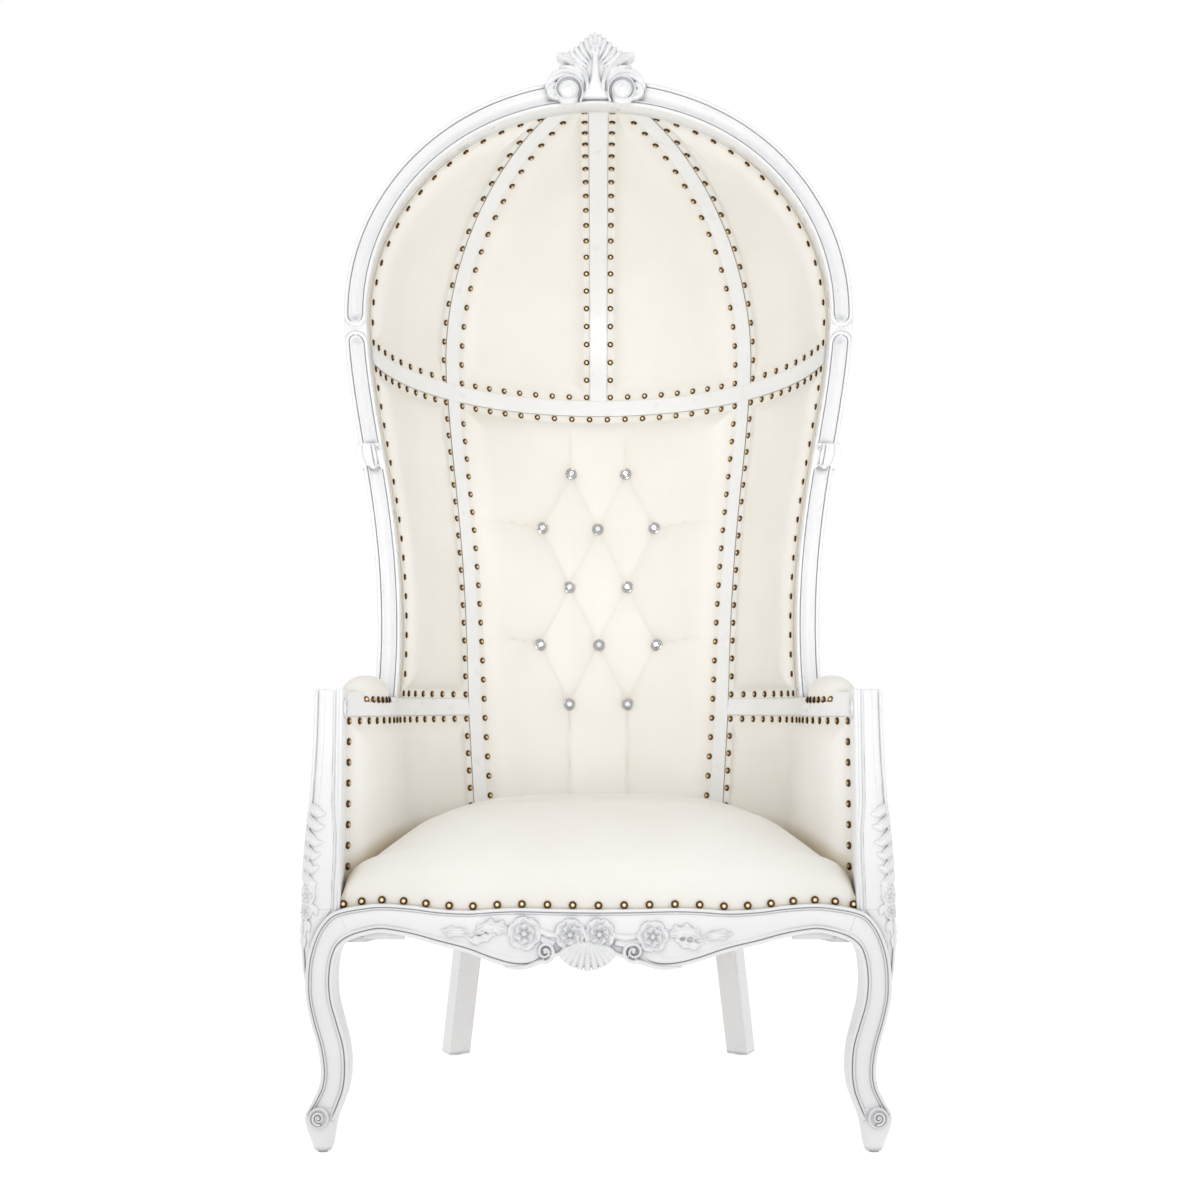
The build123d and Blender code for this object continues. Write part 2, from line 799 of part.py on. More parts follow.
def make_rear_legs():
    """Square rear legs that splay back and out, with glides under them."""
    low = seat_deck - rail_height
    with BuildPart() as leg:
        for x, y, z in ((rear_foot_x, rear_foot_y, glide_height), (rear_top_x, rear_top_y, low)):
            with BuildSketch(Plane.XY.offset(z)):
                with Locations(Location((x, y), -rear_leg_turn)):
                    Rectangle(rear_leg_side, rear_leg_side)
        loft()
        add(rear_leg_head(low, seat_deck, 0))
    pairs["rear_leg"] = leg.part
    with BuildPart() as glides:
        with BuildSketch():
            with Locations((rear_foot_x, rear_foot_y), (-rear_foot_x, rear_foot_y)):
                Circle(glide_radius)
        extrude(amount=glide_height)
    singles["floor_glides"] = glides.part


def corner_zone():
    """A triangle in plan behind the front rail, against the side rail."""
    back = apron_front + apron_thickness
    reach = post_half_space
    side = corner_block_side + rail_inset
    return prism([(reach, back), (reach, back + side), (reach - side, back)],
                 seat_deck - corner_block_height, seat_deck)


def make_corner_blocks():
    """Glue blocks in the seat frame's front corners."""
    pairs["corner_block"] = common(arm_body(-rail_inset - clearance), corner_zone())


def soft_face(part):
    """The faces of a panel that look into the chair."""
    looks_in = []
    for face in part.faces():
        centre = face.center()
        inward = Vector(0, hood_front, min(centre.Z, spring_height)) - centre
        if face.normal_at(centre).dot(inward.normalized()) > facing_share:
            looks_in.append(face)
    return looks_in


def drawn_in(part):
    """The same panel with a bevel round the face that shows."""
    faces = soft_face(part)
    rim = [edge for face in faces for edge in face.edges()]
    once = [edge for edge in rim
            if sum((edge.center() - other.center()).length < clearance for other in rim) < 2]
    with BuildPart() as piece:
        add(part)
        chamfer([e for e in piece.edges()
                 if any((e.center() - o.center()).length < clearance for o in once)], pad_bevel)
    return piece.part


def panel_pair(name, shell, cutter, bevel):
    """The inside and the outside panel of one opening."""
    inside = common(shell(-crown_depth, border), cutter)
    pairs[name + "_inside"] = drawn_in(inside) if bevel else inside
    pairs[name + "_outside"] = common(shell(wall - border, wall + outer_crown), cutter)


def make_dome_panels():
    """Four dome gores inside, and four outside, between ribs and ring."""
    low = ring_high + clearance
    gap = rib_width / 2 + clearance
    inner_edge = stretched(rib_line, gap)
    outer_edge = stretched(rib_line, -gap)
    ahead = arch_back + clearance
    start = max(gap, at_y(inner_edge, ahead)[0])
    middle = prism([(gap, ahead), (start, ahead), inner_edge[1], (gap, far)], low, roof)
    side = prism([at_y(outer_edge, ahead), (far, ahead), outer_edge[1]], low, roof)
    panel_pair("dome_gore", hood_shell, middle, False)
    panel_pair("dome_side", hood_shell, side, False)


def make_wall_panels():
    """The wings beside the back and the arm sides."""
    edge = stretched(stile_line, -stile_width / 2 - clearance)
    ahead = arch_back + clearance
    wing = prism([at_y(edge, ahead), (far, ahead), (far, far), edge[1]],
                 arm_high + clearance, ring_low - clearance)
    panel_pair("wing_panel", hood_shell, wing, True)
    ahead = post_back + clearance
    arm = prism([at_y(edge, ahead), (far, ahead), (far, far), edge[1]],
                seat_deck + clearance, arm_low - clearance)
    room = block(0, far, ahead, far, 0, roof)
    panel_pair("arm_panel", arm_shell, common(arm, room), True)


def back_zone():
    """The room between the stiles, from the seat to the ring."""
    edge = stretched(stile_line, stile_width / 2 + clearance)
    return prism([(0, 0), at_y(edge, 0), edge[1], (0, far)],
                 seat_deck + clearance, ring_low - clearance)


def tuft_places():
    """Across and up for each button: rows of two and three in turn."""
    places = []
    for row in range(tuft_rows):
        z = button_top_row - row * button_row_gap
        if row % 2:
            places += [(-button_gap, z), (0, z), (button_gap, z)]
        else:
            places += [(-button_gap / 2, z), (button_gap / 2, z)]
    return places


def tuft_plane(x, z):
    """A plane on the back panel's face that looks at the sitter."""
    half_width, reach = oval_at(z)
    a, b = half_width - back_crown, reach - back_crown
    run = b * sqrt(1 - (x / a) ** 2)
    rake = tan(radians(back_rake))
    look = Vector(-x / a ** 2, -run / b ** 2, rake * run ** 2 / b ** 3)
    return Plane(origin=(x, hood_front + run, z), z_dir=look)


def make_back():
    """The tufted back, its crystal buttons and the outside back."""
    zone = back_zone()
    whole = joined(zone, mirrored(zone))
    pad = drawn_in(common(hood_shell(-back_crown, border), whole))
    planes = [tuft_plane(x, z) for x, z in tuft_places()]
    dents = []
    for plane in planes:
        with BuildPart() as dent:
            with BuildSketch(plane.offset(-tuft_depth)):
                RegularPolygon(button_radius + clearance, button_sides)
            with BuildSketch(plane.offset(tuft_depth / 2)):
                RegularPolygon(tuft_radius, button_sides)
            loft(ruled=True)
        dents.append(dent.part)
    singles["back_panel_inside"] = cut(pad, *dents)
    with BuildPart() as buttons:
        for plane in planes:
            with BuildSketch(plane.offset(-tuft_depth)):
                RegularPolygon(button_radius, button_sides)
            extrude(amount=button_height, taper=button_taper)
    singles["crystal_buttons"] = buttons.part
    singles["back_panel_outside"] = common(hood_shell(wall - border, wall + outer_crown), whole)


@cache
def seat_room():
    """The space over the seat frame that the cushion and straps may fill."""
    front = apron_front + apron_lip + clearance
    top = seat_deck + seat_rise + overrun
    ahead = block(-far, far, -far, post_back, 0, roof)
    cheek = block(-post_half_space + clearance, post_half_space - clearance, front, post_back,
                  seat_deck, top)
    room = joined(common(cut(arm_body(-crown_depth - clearance), ahead),
                         block(-far, far, post_back, far, seat_deck, top)), cheek)
    before = block(-far, far, -far, hood_front, barrel_foot, roof)
    return common(room, joined(hood_body(-back_crown - clearance), before))


def make_seat():
    """Webbing straps, a foam block and the crowned leather cover."""
    base = seat_deck + 2 * strap_thickness
    front = apron_front + apron_lip + clearance
    mid_y = (front + seat_back_y) / 2
    length = seat_back_y - front
    rise = seat_rise - 2 * strap_thickness
    with BuildPart() as crown:
        for up, spread in seat_shares:
            with BuildSketch(Plane.XY.offset(base + rise * up)):
                with Locations((0, mid_y)):
                    RectangleRounded(2 * post_half_space * spread, length * spread, seat_corner * spread)
        loft(ruled=True)
    cushion = common(crown.part, seat_room())
    foam_room = block(-seat_foam_half, seat_foam_half, front + seat_skin, seat_back_y - seat_foam_gap,
                      base, base + seat_foam_height)
    singles["seat_cover"] = cut(cushion, foam_room)
    singles["seat_foam"] = block(-seat_foam_half + clearance, seat_foam_half - clearance,
                                 front + seat_skin + clearance, seat_back_y - seat_foam_gap - clearance,
                                 base, base + seat_foam_height - clearance)


def make_webbing():
    """Straps stretched over the seat frame, front to back and across."""
    spread = 2 * post_half_space * strap_gap_share
    with BuildPart() as long_run:
        with BuildSketch(Plane.XY.offset(seat_deck)):
            with GridLocations(spread, strap_width, long_straps, 1):
                Rectangle(strap_width, 2 * far)
        extrude(amount=strap_thickness)
    with BuildPart() as cross_run:
        with BuildSketch(Plane.XY.offset(seat_deck + strap_thickness)):
            with Locations((0, (apron_front + seat_back_y) / 2)):
                with GridLocations(strap_width, (seat_back_y - apron_front) / cross_straps, 1, cross_straps):
                    Rectangle(2 * far, strap_width)
        extrude(amount=strap_thickness)
    singles["seat_webbing_long"] = common(long_run.part, seat_room())
    singles["seat_webbing_cross"] = common(cross_run.part, seat_room())


def crest_points(shares, side):
    """Outline points of the crest on one side of its middle."""
    return [(side * crest_half_width * x, crest_base + crest_height * z) for x, z in shares]


def make_crest():
    """The carved crest: scrolls, plumes and a stem over the arch's middle."""
    runs = (crest_top_shares, crest_lobe_shares, crest_leaf_shares, crest_side_shares,
            crest_wing_shares, crest_hem_shares)
    with BuildSketch(Plane.XZ) as outline:
        with BuildLine():
            for side in (1, -1):
                for shares in runs:
                    Spline(*crest_points(shares, side))
            foot = crest_points(crest_hem_shares, 1)[-1]
            Line(foot, (-foot[0], foot[1]))
        make_face()
    scroll_x = crest_half_width * crest_scroll_share
    scroll_z = crest_base + crest_scroll_radius / 2
    tall = crest_height - crest_stem_width
    with BuildSketch(Plane.XZ) as relief:
        with Locations((scroll_x, scroll_z), (-scroll_x, scroll_z)):
            Circle(crest_scroll_radius)
            Circle(crest_scroll_radius - crest_scroll_width, mode=Mode.SUBTRACT)
            Circle(crest_eye_radius)
        with Locations((0, crest_base + tall / 2)):
            SlotOverall(tall, crest_stem_width, rotation=upright)
    face = arch_face - crest_face
    plate = at_depth(outline.sketch, face, arch_face)
    carved = at_depth(relief.sketch, face - crest_relief, arch_face)
    behind = at_depth(outline.sketch, arch_face, arch_face + crest_back)
    under = at_depth(front_room(arch_outer + clearance, node_height), arch_face - overrun, arch_back)
    behind = cut(behind, under, mirrored(under))
    singles["crest"] = joined(plate, carved, behind)


def tenon(point, direction, length):
    """A square tenon and the mortise that takes it, centred on a point."""
    plane = Plane(origin=point, z_dir=direction)
    pair = []
    for gap in (0, clearance):
        with BuildPart() as bar:
            with BuildSketch(plane):
                Rectangle(tenon_side + 2 * gap, tenon_side + 2 * gap)
            extrude(amount=length / 2 + gap, both=True)
        pair.append(bar.part)
    return pair


def change(name, tool, work):
    """Add to or cut from a kept piece, on both sides if it is a middle one."""
    if name in pairs:
        pairs[name] = work(pairs[name], tool)
    else:
        singles[name] = work(singles[name], tool, mirrored(tool))


def join(holder, taker, point, direction, length=tenon_length):
    """Fix one piece in another with a square tenon."""
    tongue, mortise = tenon(point, direction, length)
    change(holder, tongue, joined)
    change(taker, mortise, cut)


def make_joints():
    """The tenons and the loose tongue that hold the frame together."""
    rail_mid = seat_deck - rail_height / 2
    rail_front = apron_front + (apron_lip + apron_thickness) / 2
    leg_mid = (post_half_space + leg_spread) / 2
    post_mid = (post_front + post_back) / 2
    arch_mid = (arch_face + arch_back) / 2
    arch_ring = (arch_inner + arch_outer) / 2
    side = post_half_space + wall / 2
    along = Vector(stile_top_x - stile_foot_x, stile_top_y - stile_foot_y).normalized()
    across = (along.Y, -along.X, 0)
    right = (1, 0, 0)
    back = (0, 1, 0)
    up = (0, 0, 1)
    join("front_rail", "front_leg", (post_half_space, rail_front, rail_mid), right)
    join("side_rail", "front_leg", (side, post_back, rail_mid), back)
    join("arm_post", "front_leg", (leg_mid, post_mid, leg_top), up)
    join("arm_rail", "arm_post", (side, post_back, (arm_low + arm_high) / 2), back)
    join("hood_post", "arm_rail", (arm_level_half_width + wall / 2, arch_mid, arm_high), up)
    join("side_rail", "back_rail", wall_point(stile_line, rail_mid, -rail_inset / 3), across)
    join("back_stile", "rear_leg", (rear_tenon_x, rear_tenon_y, seat_deck), up)
    arm_end = wall_point(stretched(stile_line, -stile_width / 2), arm_low + arm_band / 2)
    join("arm_rail", "back_stile", arm_end, across)
    for offset, ring in ((-stile_width / 4, "ring_side"), (stile_width / 4, "ring_back")):
        join("back_stile", ring, wall_point(stretched(stile_line, offset), ring_low), up)
    join("ring_side", "hood_post", (dome_half_width + wall / 2, arch_back, ring_height), back)
    join("dome_rib", "ring_back", wall_point(rib_line, ring_high), up)
    middle_line = ((0, 0), (0, far))
    join("dome_rib_centre", "ring_back", wall_point(middle_line, ring_high), up)
    join("hood_post", "arch", (spring_half_width + arch_ring - clearance, arch_mid, node_height), up)
    rib_x = at_y(rib_line, arch_back)[0]
    rib_rise = (dome_rise + wall / 2) * sqrt(1 - (rib_x / (spring_half_width + wall / 2)) ** 2)
    join("dome_rib", "arch", (rib_x, arch_back, spring_height + rib_rise), back)
    join("dome_rib_centre", "arch", (rib_width / 4, arch_back, dome_top + wall / 2), back)
    crest_foot = (crest_tenon_x, arch_face, dome_top + arch_ring - clearance)
    join("crest", "arch", crest_foot, back, crest_tenon_length)
    tongue, mortise = tenon((0, arch_mid, dome_top + arch_ring), right, tenon_length)
    singles["arch_tongue"] = tongue
    pairs["arch"] = cut(pairs["arch"], mortise)


for step in (make_ribs, make_ring, make_stiles, make_arch, make_hood_posts, make_arms, make_arm_pads,
             make_front_posts, make_front_legs, make_front_rail, make_garland, make_seat_rails,
             make_rear_legs, make_corner_blocks, make_dome_panels, make_wall_panels, make_back,
             make_seat, make_webbing, make_crest, make_joints):
    step()

os.makedirs("parts", exist_ok=True)
for name, part in singles.items():
    part.label = name
    export_step(part, f"parts/{name}.step")
for name, part in pairs.items():
    for side, piece in (("right", part), ("left", mirrored(part))):
        piece.label = f"{name}_{side}"
        export_step(piece, f"parts/{name}_{side}.step")
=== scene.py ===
"""The hooded throne chair's looks: leather, lacquered carving, brass nails and crystal."""
import bpy
import json
import numpy as np
from math import cos, pi, radians, sin, sqrt, tan
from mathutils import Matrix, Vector


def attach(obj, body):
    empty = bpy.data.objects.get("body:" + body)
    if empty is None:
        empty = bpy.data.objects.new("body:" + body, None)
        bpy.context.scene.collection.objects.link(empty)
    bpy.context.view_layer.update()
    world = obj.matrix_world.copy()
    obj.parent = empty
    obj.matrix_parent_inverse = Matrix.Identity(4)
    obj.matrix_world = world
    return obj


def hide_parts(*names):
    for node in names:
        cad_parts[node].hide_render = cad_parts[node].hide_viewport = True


# Millimetres, as in the solids, and metres for Blender
MM = 0.001

# Hood: a half oval barrel that carries a half dome
HOOD_FRONT = -133.0
BACK_RAKE = 11.86
RING = 1250.0
SPRING = 1315.0
SPRING_SIZE = (389.0, 505.0)
DOME_RISE = 365.0
DOME_DEPTH = 500.0
FOOT_LEVEL = 290.0
FOOT_HALF_WIDTH = 322.0
ARM_LEVEL = 645.0
WIDTH_LEVELS = ((645.0, 333.0), (827.0, 327.5), (1000.0, 345.0), (1250.0, 385.0), (1315.0, 389.0))

# Frame members
WALL = 34.0
RIB_WIDTH = 34.0
STILE_WIDTH = 30.0
RING_LOW = 1234.0
RING_HIGH = 1266.0
ARM_LOW = 635.0
ARM_HIGH = 665.0
ARM_DIP = 657.0
SEAT_DECK = 340.0
ARCH_FACE = -141.0
ARCH_BACK = -95.0
ARCH_INNER = 3.0
ARCH_SAG = (8.5, 2.0)
ARCH_OUTER = 40.0
NODE_HEIGHT = 1285.0
POST_BACK = -350.0
POST_SPACE = 380.0
RIB_LINE = ((40.0, -133.0), (281.0, 218.0))
STILE_LINE = ((211.0, 119.0), (281.0, 218.0))
CLEARANCE = 0.3

# Leather and nails: levels are measured outwards from the hood's inner face
BORDER = 13.0
CROWN_RUN = 15.0
INSIDE_EDGE = 1.5
INSIDE_BACK = 5.0
INSIDE_CROWN = -12.0
BACK_CROWN = -20.0
OUTSIDE_EDGE = WALL - 2.0
OUTSIDE_BACK = WALL - 5.0
OUTSIDE_CROWN = 38.5
NAIL_INSET = 7.0
NAIL_GAP = 36.0
WALL_NAIL_GAP = 33.4
ARM_NAIL_GAP = 31.5
NAIL_RADIUS = 5.6
NAIL_RISE = 3.6
NAIL_SIDES = 14

# The grain of the fused carvings, in metres
CARVING_VOXEL = 0.0009
GARLAND_VOXEL = 0.0008

# Camera
CAMERA_PLACE = (0.0, -2.6252, 0.6474)
CAMERA_TILT = 94.12
CAMERA_LENS = 45.0
CAMERA_SHIFT = 0.0013

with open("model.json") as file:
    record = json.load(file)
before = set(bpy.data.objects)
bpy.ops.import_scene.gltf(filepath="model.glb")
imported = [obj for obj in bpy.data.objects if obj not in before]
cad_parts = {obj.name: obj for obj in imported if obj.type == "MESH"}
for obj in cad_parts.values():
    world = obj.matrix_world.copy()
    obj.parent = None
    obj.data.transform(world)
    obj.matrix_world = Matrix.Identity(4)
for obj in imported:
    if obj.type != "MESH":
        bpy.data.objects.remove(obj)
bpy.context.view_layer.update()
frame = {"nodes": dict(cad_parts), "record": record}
rng = np.random.default_rng(7)


# Materials

def node_material(name):
    """A material, with its node tree and its Principled shader."""
    material = bpy.data.materials.new(name)
    material.use_nodes = True
    tree = material.node_tree
    return material, tree, tree.nodes["Principled BSDF"]


def add_node(tree, kind, **values):
    """A node with some of its inputs or settings filled in."""
    node = tree.nodes.new(kind)
    for key, value in values.items():
        if key in node.inputs:
            node.inputs[key].default_value = value
        else:
            setattr(node, key, value)
    return node


def ramp(tree, source, stops):
    """A colour ramp fed from a socket. The colour of a stop may be a single grey."""
    node = tree.nodes.new("ShaderNodeValToRGB")
    elements = node.color_ramp.elements
    for i, (place, colour) in enumerate(stops):
        element = elements[i] if i < 2 else elements.new(place)
        element.position = place
        element.color = (colour, colour, colour, 1) if isinstance(colour, float) else (*colour, 1)
    tree.links.new(source, node.inputs["Fac"])
    return node.outputs["Color"]


def noise(tree, scale):
    """A noise texture in the object's own coordinates."""
    place = tree.nodes.new("ShaderNodeTexCoord")
    node = add_node(tree, "ShaderNodeTexNoise", Scale=scale, Detail=3.0)
    tree.links.new(place.outputs["Object"], node.inputs["Vector"])
    return node.outputs["Fac"]


def multiply(tree, first, second):
    """Two colours multiplied."""
    node = tree.nodes.new("ShaderNodeMix")
    node.data_type = "RGBA"
    node.blend_type = "MULTIPLY"
    node.inputs["Factor"].default_value = 1.0
    tree.links.new(first, node.inputs[6])
    tree.links.new(second, node.inputs[7])
    return node.outputs[2]


def joined(tree, kind, *sources):
    """A node fed from sockets, in the order of its own inputs."""
    node = tree.nodes.new(kind)
    for source, socket in zip(sources, node.inputs):
        tree.links.new(source, socket)
    return node


def either(tree, first, second):
    """The larger of two numbers: 1 where either kind of ray arrives."""
    node = joined(tree, "ShaderNodeMath", first, second)
    node.operation = "MAXIMUM"
    return node.outputs[0]


def bump(tree, height, strength, distance, normal=None):
    """A bump node fed from a height."""
    node = add_node(tree, "ShaderNodeBump", Strength=strength, Distance=distance)
    tree.links.new(height, node.inputs["Height"])
    if normal:
        tree.links.new(normal, node.inputs["Normal"])
    return node.outputs["Normal"]


def make_lacquer():
    """White lacquer over carved wood: painted cool grey shade in the hollows and grooves, faint brush
    marks.
    """
    material, tree, shader = node_material("white_lacquer")
    # Painted shade: ambient occlusion turns the lacquer cool grey in the hollows between carved parts,
    # where shade falls.
    painted_shade_occlusion = add_node(tree, "ShaderNodeAmbientOcclusion", Distance=0.010, samples=8)
    painted_shade_stops = [(0.38, (0.42, 0.425, 0.44)), (0.74, (0.72, 0.725, 0.735)), (0.95, 0.868)]
    hollow = ramp(tree, painted_shade_occlusion.outputs["AO"], painted_shade_stops)
    cloud = ramp(tree, noise(tree, 9.0), [(0.3, (0.965, 0.965, 0.967)), (0.7, 1.0)])
    # Painted shade: low pointiness darkens the lacquer along grooves and inner corners.
    shape = tree.nodes.new("ShaderNodeNewGeometry")
    cut = ramp(tree, shape.outputs["Pointiness"], [(0.40, (0.45, 0.455, 0.47)), (0.485, 1.0)])
    tree.links.new(multiply(tree, multiply(tree, hollow, cut), cloud), shader.inputs["Base Color"])
    gloss = ramp(tree, noise(tree, 30.0), [(0.3, 0.26), (0.75, 0.42)])
    tree.links.new(gloss, shader.inputs["Roughness"])
    soft = add_node(tree, "ShaderNodeBevel", Radius=0.0015, samples=4)
    brushed = bump(tree, noise(tree, 160.0), 0.12, 0.0008, soft.outputs["Normal"])
    tree.links.new(brushed, shader.inputs["Normal"])
    shader.inputs["Coat Weight"].default_value = 0.25
    shader.inputs["Coat Roughness"].default_value = 0.15
    return material


def make_leather():
    """Cream leather with a fine pebble grain and painted warm shade along folds and edges."""
    material, tree, shader = node_material("cream_leather")
    place = tree.nodes.new("ShaderNodeTexCoord")
    cells = add_node(tree, "ShaderNodeTexVoronoi", Scale=620.0)
    tree.links.new(place.outputs["Object"], cells.inputs["Vector"])
    cloud = ramp(tree, noise(tree, 6.0), [(0.3, (0.84, 0.815, 0.755)), (0.7, (0.875, 0.857, 0.81))])
    # Painted shade: ambient occlusion darkens the leather to warm beige along folds, borders and corners.
    painted_shade_occlusion = add_node(tree, "ShaderNodeAmbientOcclusion", Distance=0.028, samples=8)
    fold = ramp(tree, painted_shade_occlusion.outputs["AO"], [(0.38, (0.76, 0.69, 0.57)), (0.92, 1.0)])
    tree.links.new(multiply(tree, cloud, fold), shader.inputs["Base Color"])
    grain = bump(tree, cells.outputs["Distance"], 0.10, 0.0006)
    tree.links.new(bump(tree, noise(tree, 240.0), 0.10, 0.0006, grain), shader.inputs["Normal"])
    gloss = ramp(tree, noise(tree, 18.0), [(0.3, 0.44), (0.7, 0.56)])
    tree.links.new(gloss, shader.inputs["Roughness"])
    shader.inputs["Sheen Weight"].default_value = 0.08
    shader.inputs["Sheen Roughness"].default_value = 0.5
    return material


def make_brass():
    """Antique brass nail heads: a painted pale gold highlight on the crown, painted dark brown shade at the
    brim.
    """
    material, tree, shader = node_material("antique_brass")
    # Painted light: tone runs from 0 at the brim to 1 at the crown, so the ramp paints dark shade round the
    # brim and a pale gold highlight on the crown.
    tone = add_node(tree, "ShaderNodeAttribute", attribute_name="tone")
    stops = [(0.0, (0.03, 0.015, 0.006)), (0.55, (0.075, 0.038, 0.014)), (0.86, (0.22, 0.12, 0.045)),
             (0.98, (0.93, 0.76, 0.50))]
    painted_brim_shade_and_crown_highlight = ramp(tree, tone.outputs["Fac"], stops)
    worn = ramp(tree, noise(tree, 500.0), [(0.35, (0.8, 0.78, 0.74)), (0.65, 1.0)])
    tree.links.new(multiply(tree, painted_brim_shade_and_crown_highlight, worn), shader.inputs["Base Color"])
    rough = ramp(tree, noise(tree, 700.0), [(0.3, 0.22), (0.7, 0.38)])
    tree.links.new(rough, shader.inputs["Roughness"])
    shader.inputs["Metallic"].default_value = 1.0
    return material


def make_crystal():
    """Cut crystal: its facets painted dark and bright silver as reflections of light."""
    material, tree, shader = node_material("crystal")
    # Painted reflections: each facet's and rim ring's tone paints it dark or bright silver, as glints of a
    # lit stone.
    tone = add_node(tree, "ShaderNodeAttribute", attribute_name="tone")
    painted_facet_glints = ramp(tree, tone.outputs["Fac"], [(0.0, (0.05, 0.05, 0.06)), (0.45, (0.42, 0.43, 0.46)),
                                            (0.8, (0.9, 0.91, 0.93))])
    speck = ramp(tree, noise(tree, 300.0), [(0.3, 0.9), (0.6, 1.0)])
    tree.links.new(multiply(tree, painted_facet_glints, speck), shader.inputs["Base Color"])
    shader.inputs["Metallic"].default_value = 0.85
    shader.inputs["Roughness"].default_value = 0.08
    shader.inputs["Coat Weight"].default_value = 1.0
    shader.inputs["Coat Roughness"].default_value = 0.02
    return material


def make_webbing():
    """Woven jute straps: crossed threads and a colour that varies."""
    material, tree, shader = node_material("jute_webbing")
    place = tree.nodes.new("ShaderNodeTexCoord")
    heights = []
    for axis in ("X", "Y"):
        wave = add_node(tree, "ShaderNodeTexWave", Scale=140.0, bands_direction=axis)
        tree.links.new(place.outputs["Object"], wave.inputs["Vector"])
        heights.append(wave.outputs["Color"])
    weave = multiply(tree, heights[0], heights[1])
    tree.links.new(ramp(tree, weave, [(0.0, (0.33, 0.25, 0.15)), (0.6, (0.62, 0.51, 0.35))]),
                   shader.inputs["Base Color"])
    tree.links.new(bump(tree, weave, 0.6, 0.001), shader.inputs["Normal"])
    shader.inputs["Roughness"].default_value = 0.9
    return material


def make_bare_wood():
    """Pale unfinished hardwood with a drawn-out grain."""
    material, tree, shader = node_material("bare_wood")
    place = tree.nodes.new("ShaderNodeTexCoord")
    stretch = add_node(tree, "ShaderNodeMapping")
    stretch.inputs["Scale"].default_value = (60.0, 6.0, 60.0)
    tree.links.new(place.outputs["Object"], stretch.inputs["Vector"])
    grain = add_node(tree, "ShaderNodeTexNoise", Scale=3.0, Detail=6.0)
    tree.links.new(stretch.outputs["Vector"], grain.inputs["Vector"])
    tree.links.new(ramp(tree, grain.outputs["Fac"], [(0.3, (0.42, 0.28, 0.15)), (0.7, (0.62, 0.45, 0.27))]),
                   shader.inputs["Base Color"])
    tree.links.new(bump(tree, grain.outputs["Fac"], 0.3, 0.0005), shader.inputs["Normal"])
    shader.inputs["Roughness"].default_value = 0.65
    return material


def make_steel():
    """Brushed steel for the floor glides."""
    material, tree, shader = node_material("glide_steel")
    tree.links.new(ramp(tree, noise(tree, 200.0), [(0.3, 0.4), (0.7, 0.6)]),
                   shader.inputs["Base Color"])
    rough = ramp(tree, noise(tree, 400.0), [(0.3, 0.25), (0.7, 0.45)])
    tree.links.new(rough, shader.inputs["Roughness"])
    shader.inputs["Metallic"].default_value = 1.0
    return material


LACQUER = make_lacquer()
LEATHER = make_leather()
BRASS = make_brass()
CRYSTAL = make_crystal()
WEBBING = make_webbing()
BARE_WOOD = make_bare_wood()
STEEL = make_steel()
FINISH = {"painted_wood": LACQUER, "leather": LEATHER, "crystal": CRYSTAL, "webbing": WEBBING,
          "bare_wood": BARE_WOOD, "steel": STEEL}


# Meshes

def make_piece(name, points, faces, slot, material=None, tones=None, smooth=True):
    """A mesh piece from millimetre points, on the chair's one body."""
    mesh = bpy.data.meshes.new(name)
    mesh.from_pydata((np.asarray(points) * MM).tolist(), [], faces)
    mesh.validate()
    if smooth:
        mesh.polygons.foreach_set("use_smooth", [True] * len(mesh.polygons))
        mesh.set_sharp_from_angle(angle=radians(50))
    if tones is not None:
        layer = mesh.attributes.new("tone", "FLOAT", "POINT")
        layer.data.foreach_set("value", np.asarray(tones, np.float32))
    mesh.materials.append(material or FINISH[slot])
    piece = bpy.data.objects.new(name, mesh)
    bpy.context.scene.collection.objects.link(piece)
    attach(piece, "root")
    return piece


class Soup:
    """Points and faces collected from several shells."""

    def __init__(self):
        self.points, self.faces, self.tones, self.count = [], [], [], 0

    def add(self, points, faces, tones=None):
        """Adds points and faces as they are, with a tone for each point."""
        points = np.asarray(points, float).reshape(-1, 3)
        self.faces += [tuple(i + self.count for i in face) for face in faces]
        self.points.append(points)
        self.tones.append(np.ones(len(points)) if tones is None else np.asarray(tones, float))
        self.count += len(points)

    def shell(self, points, faces):
        """Adds a closed shell, turned right side out."""
        self.add(points, outward(points, faces))

    def mirror(self):
        """The same shells on the other side of the chair."""
        other = Soup()
        points = np.concatenate(self.points) * np.array([-1.0, 1.0, 1.0])
        other.add(points, [face[::-1] for face in self.faces], np.concatenate(self.tones))
        return other

    def piece(self, name, slot, material=None, smooth=True):
        """All the shells as one mesh piece."""
        return make_piece(name, np.concatenate(self.points), self.faces, slot, material,
                          np.concatenate(self.tones), smooth)


def both_hands(*soups):
    """The right hand with these soups, and the left hand with their mirror images."""
    return ("right", *soups), ("left", *(soup.mirror() for soup in soups))


def leather_piece(soup, name, *nodes, fill=0.8):
    """A leather piece in the place of its solids."""
    pad = soup.piece(name, "leather")
    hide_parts(*nodes)


def wooden_pair(soup, name, work):
    """A worked piece of wood on each hand, in the place of the solid there."""
    for hand, half in both_hands(soup):
        piece = half.piece(f"{name}_{hand}_{work}", "painted_wood")
        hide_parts(f"{name}_{hand}")


def circle(radius, count, z, shift=0.0):
    """Points round a level circle, turned by a share of one step."""
    turns = [2 * pi * (i + shift) / count for i in range(count)]
    return [(radius * cos(turn), radius * sin(turn), z) for turn in turns]


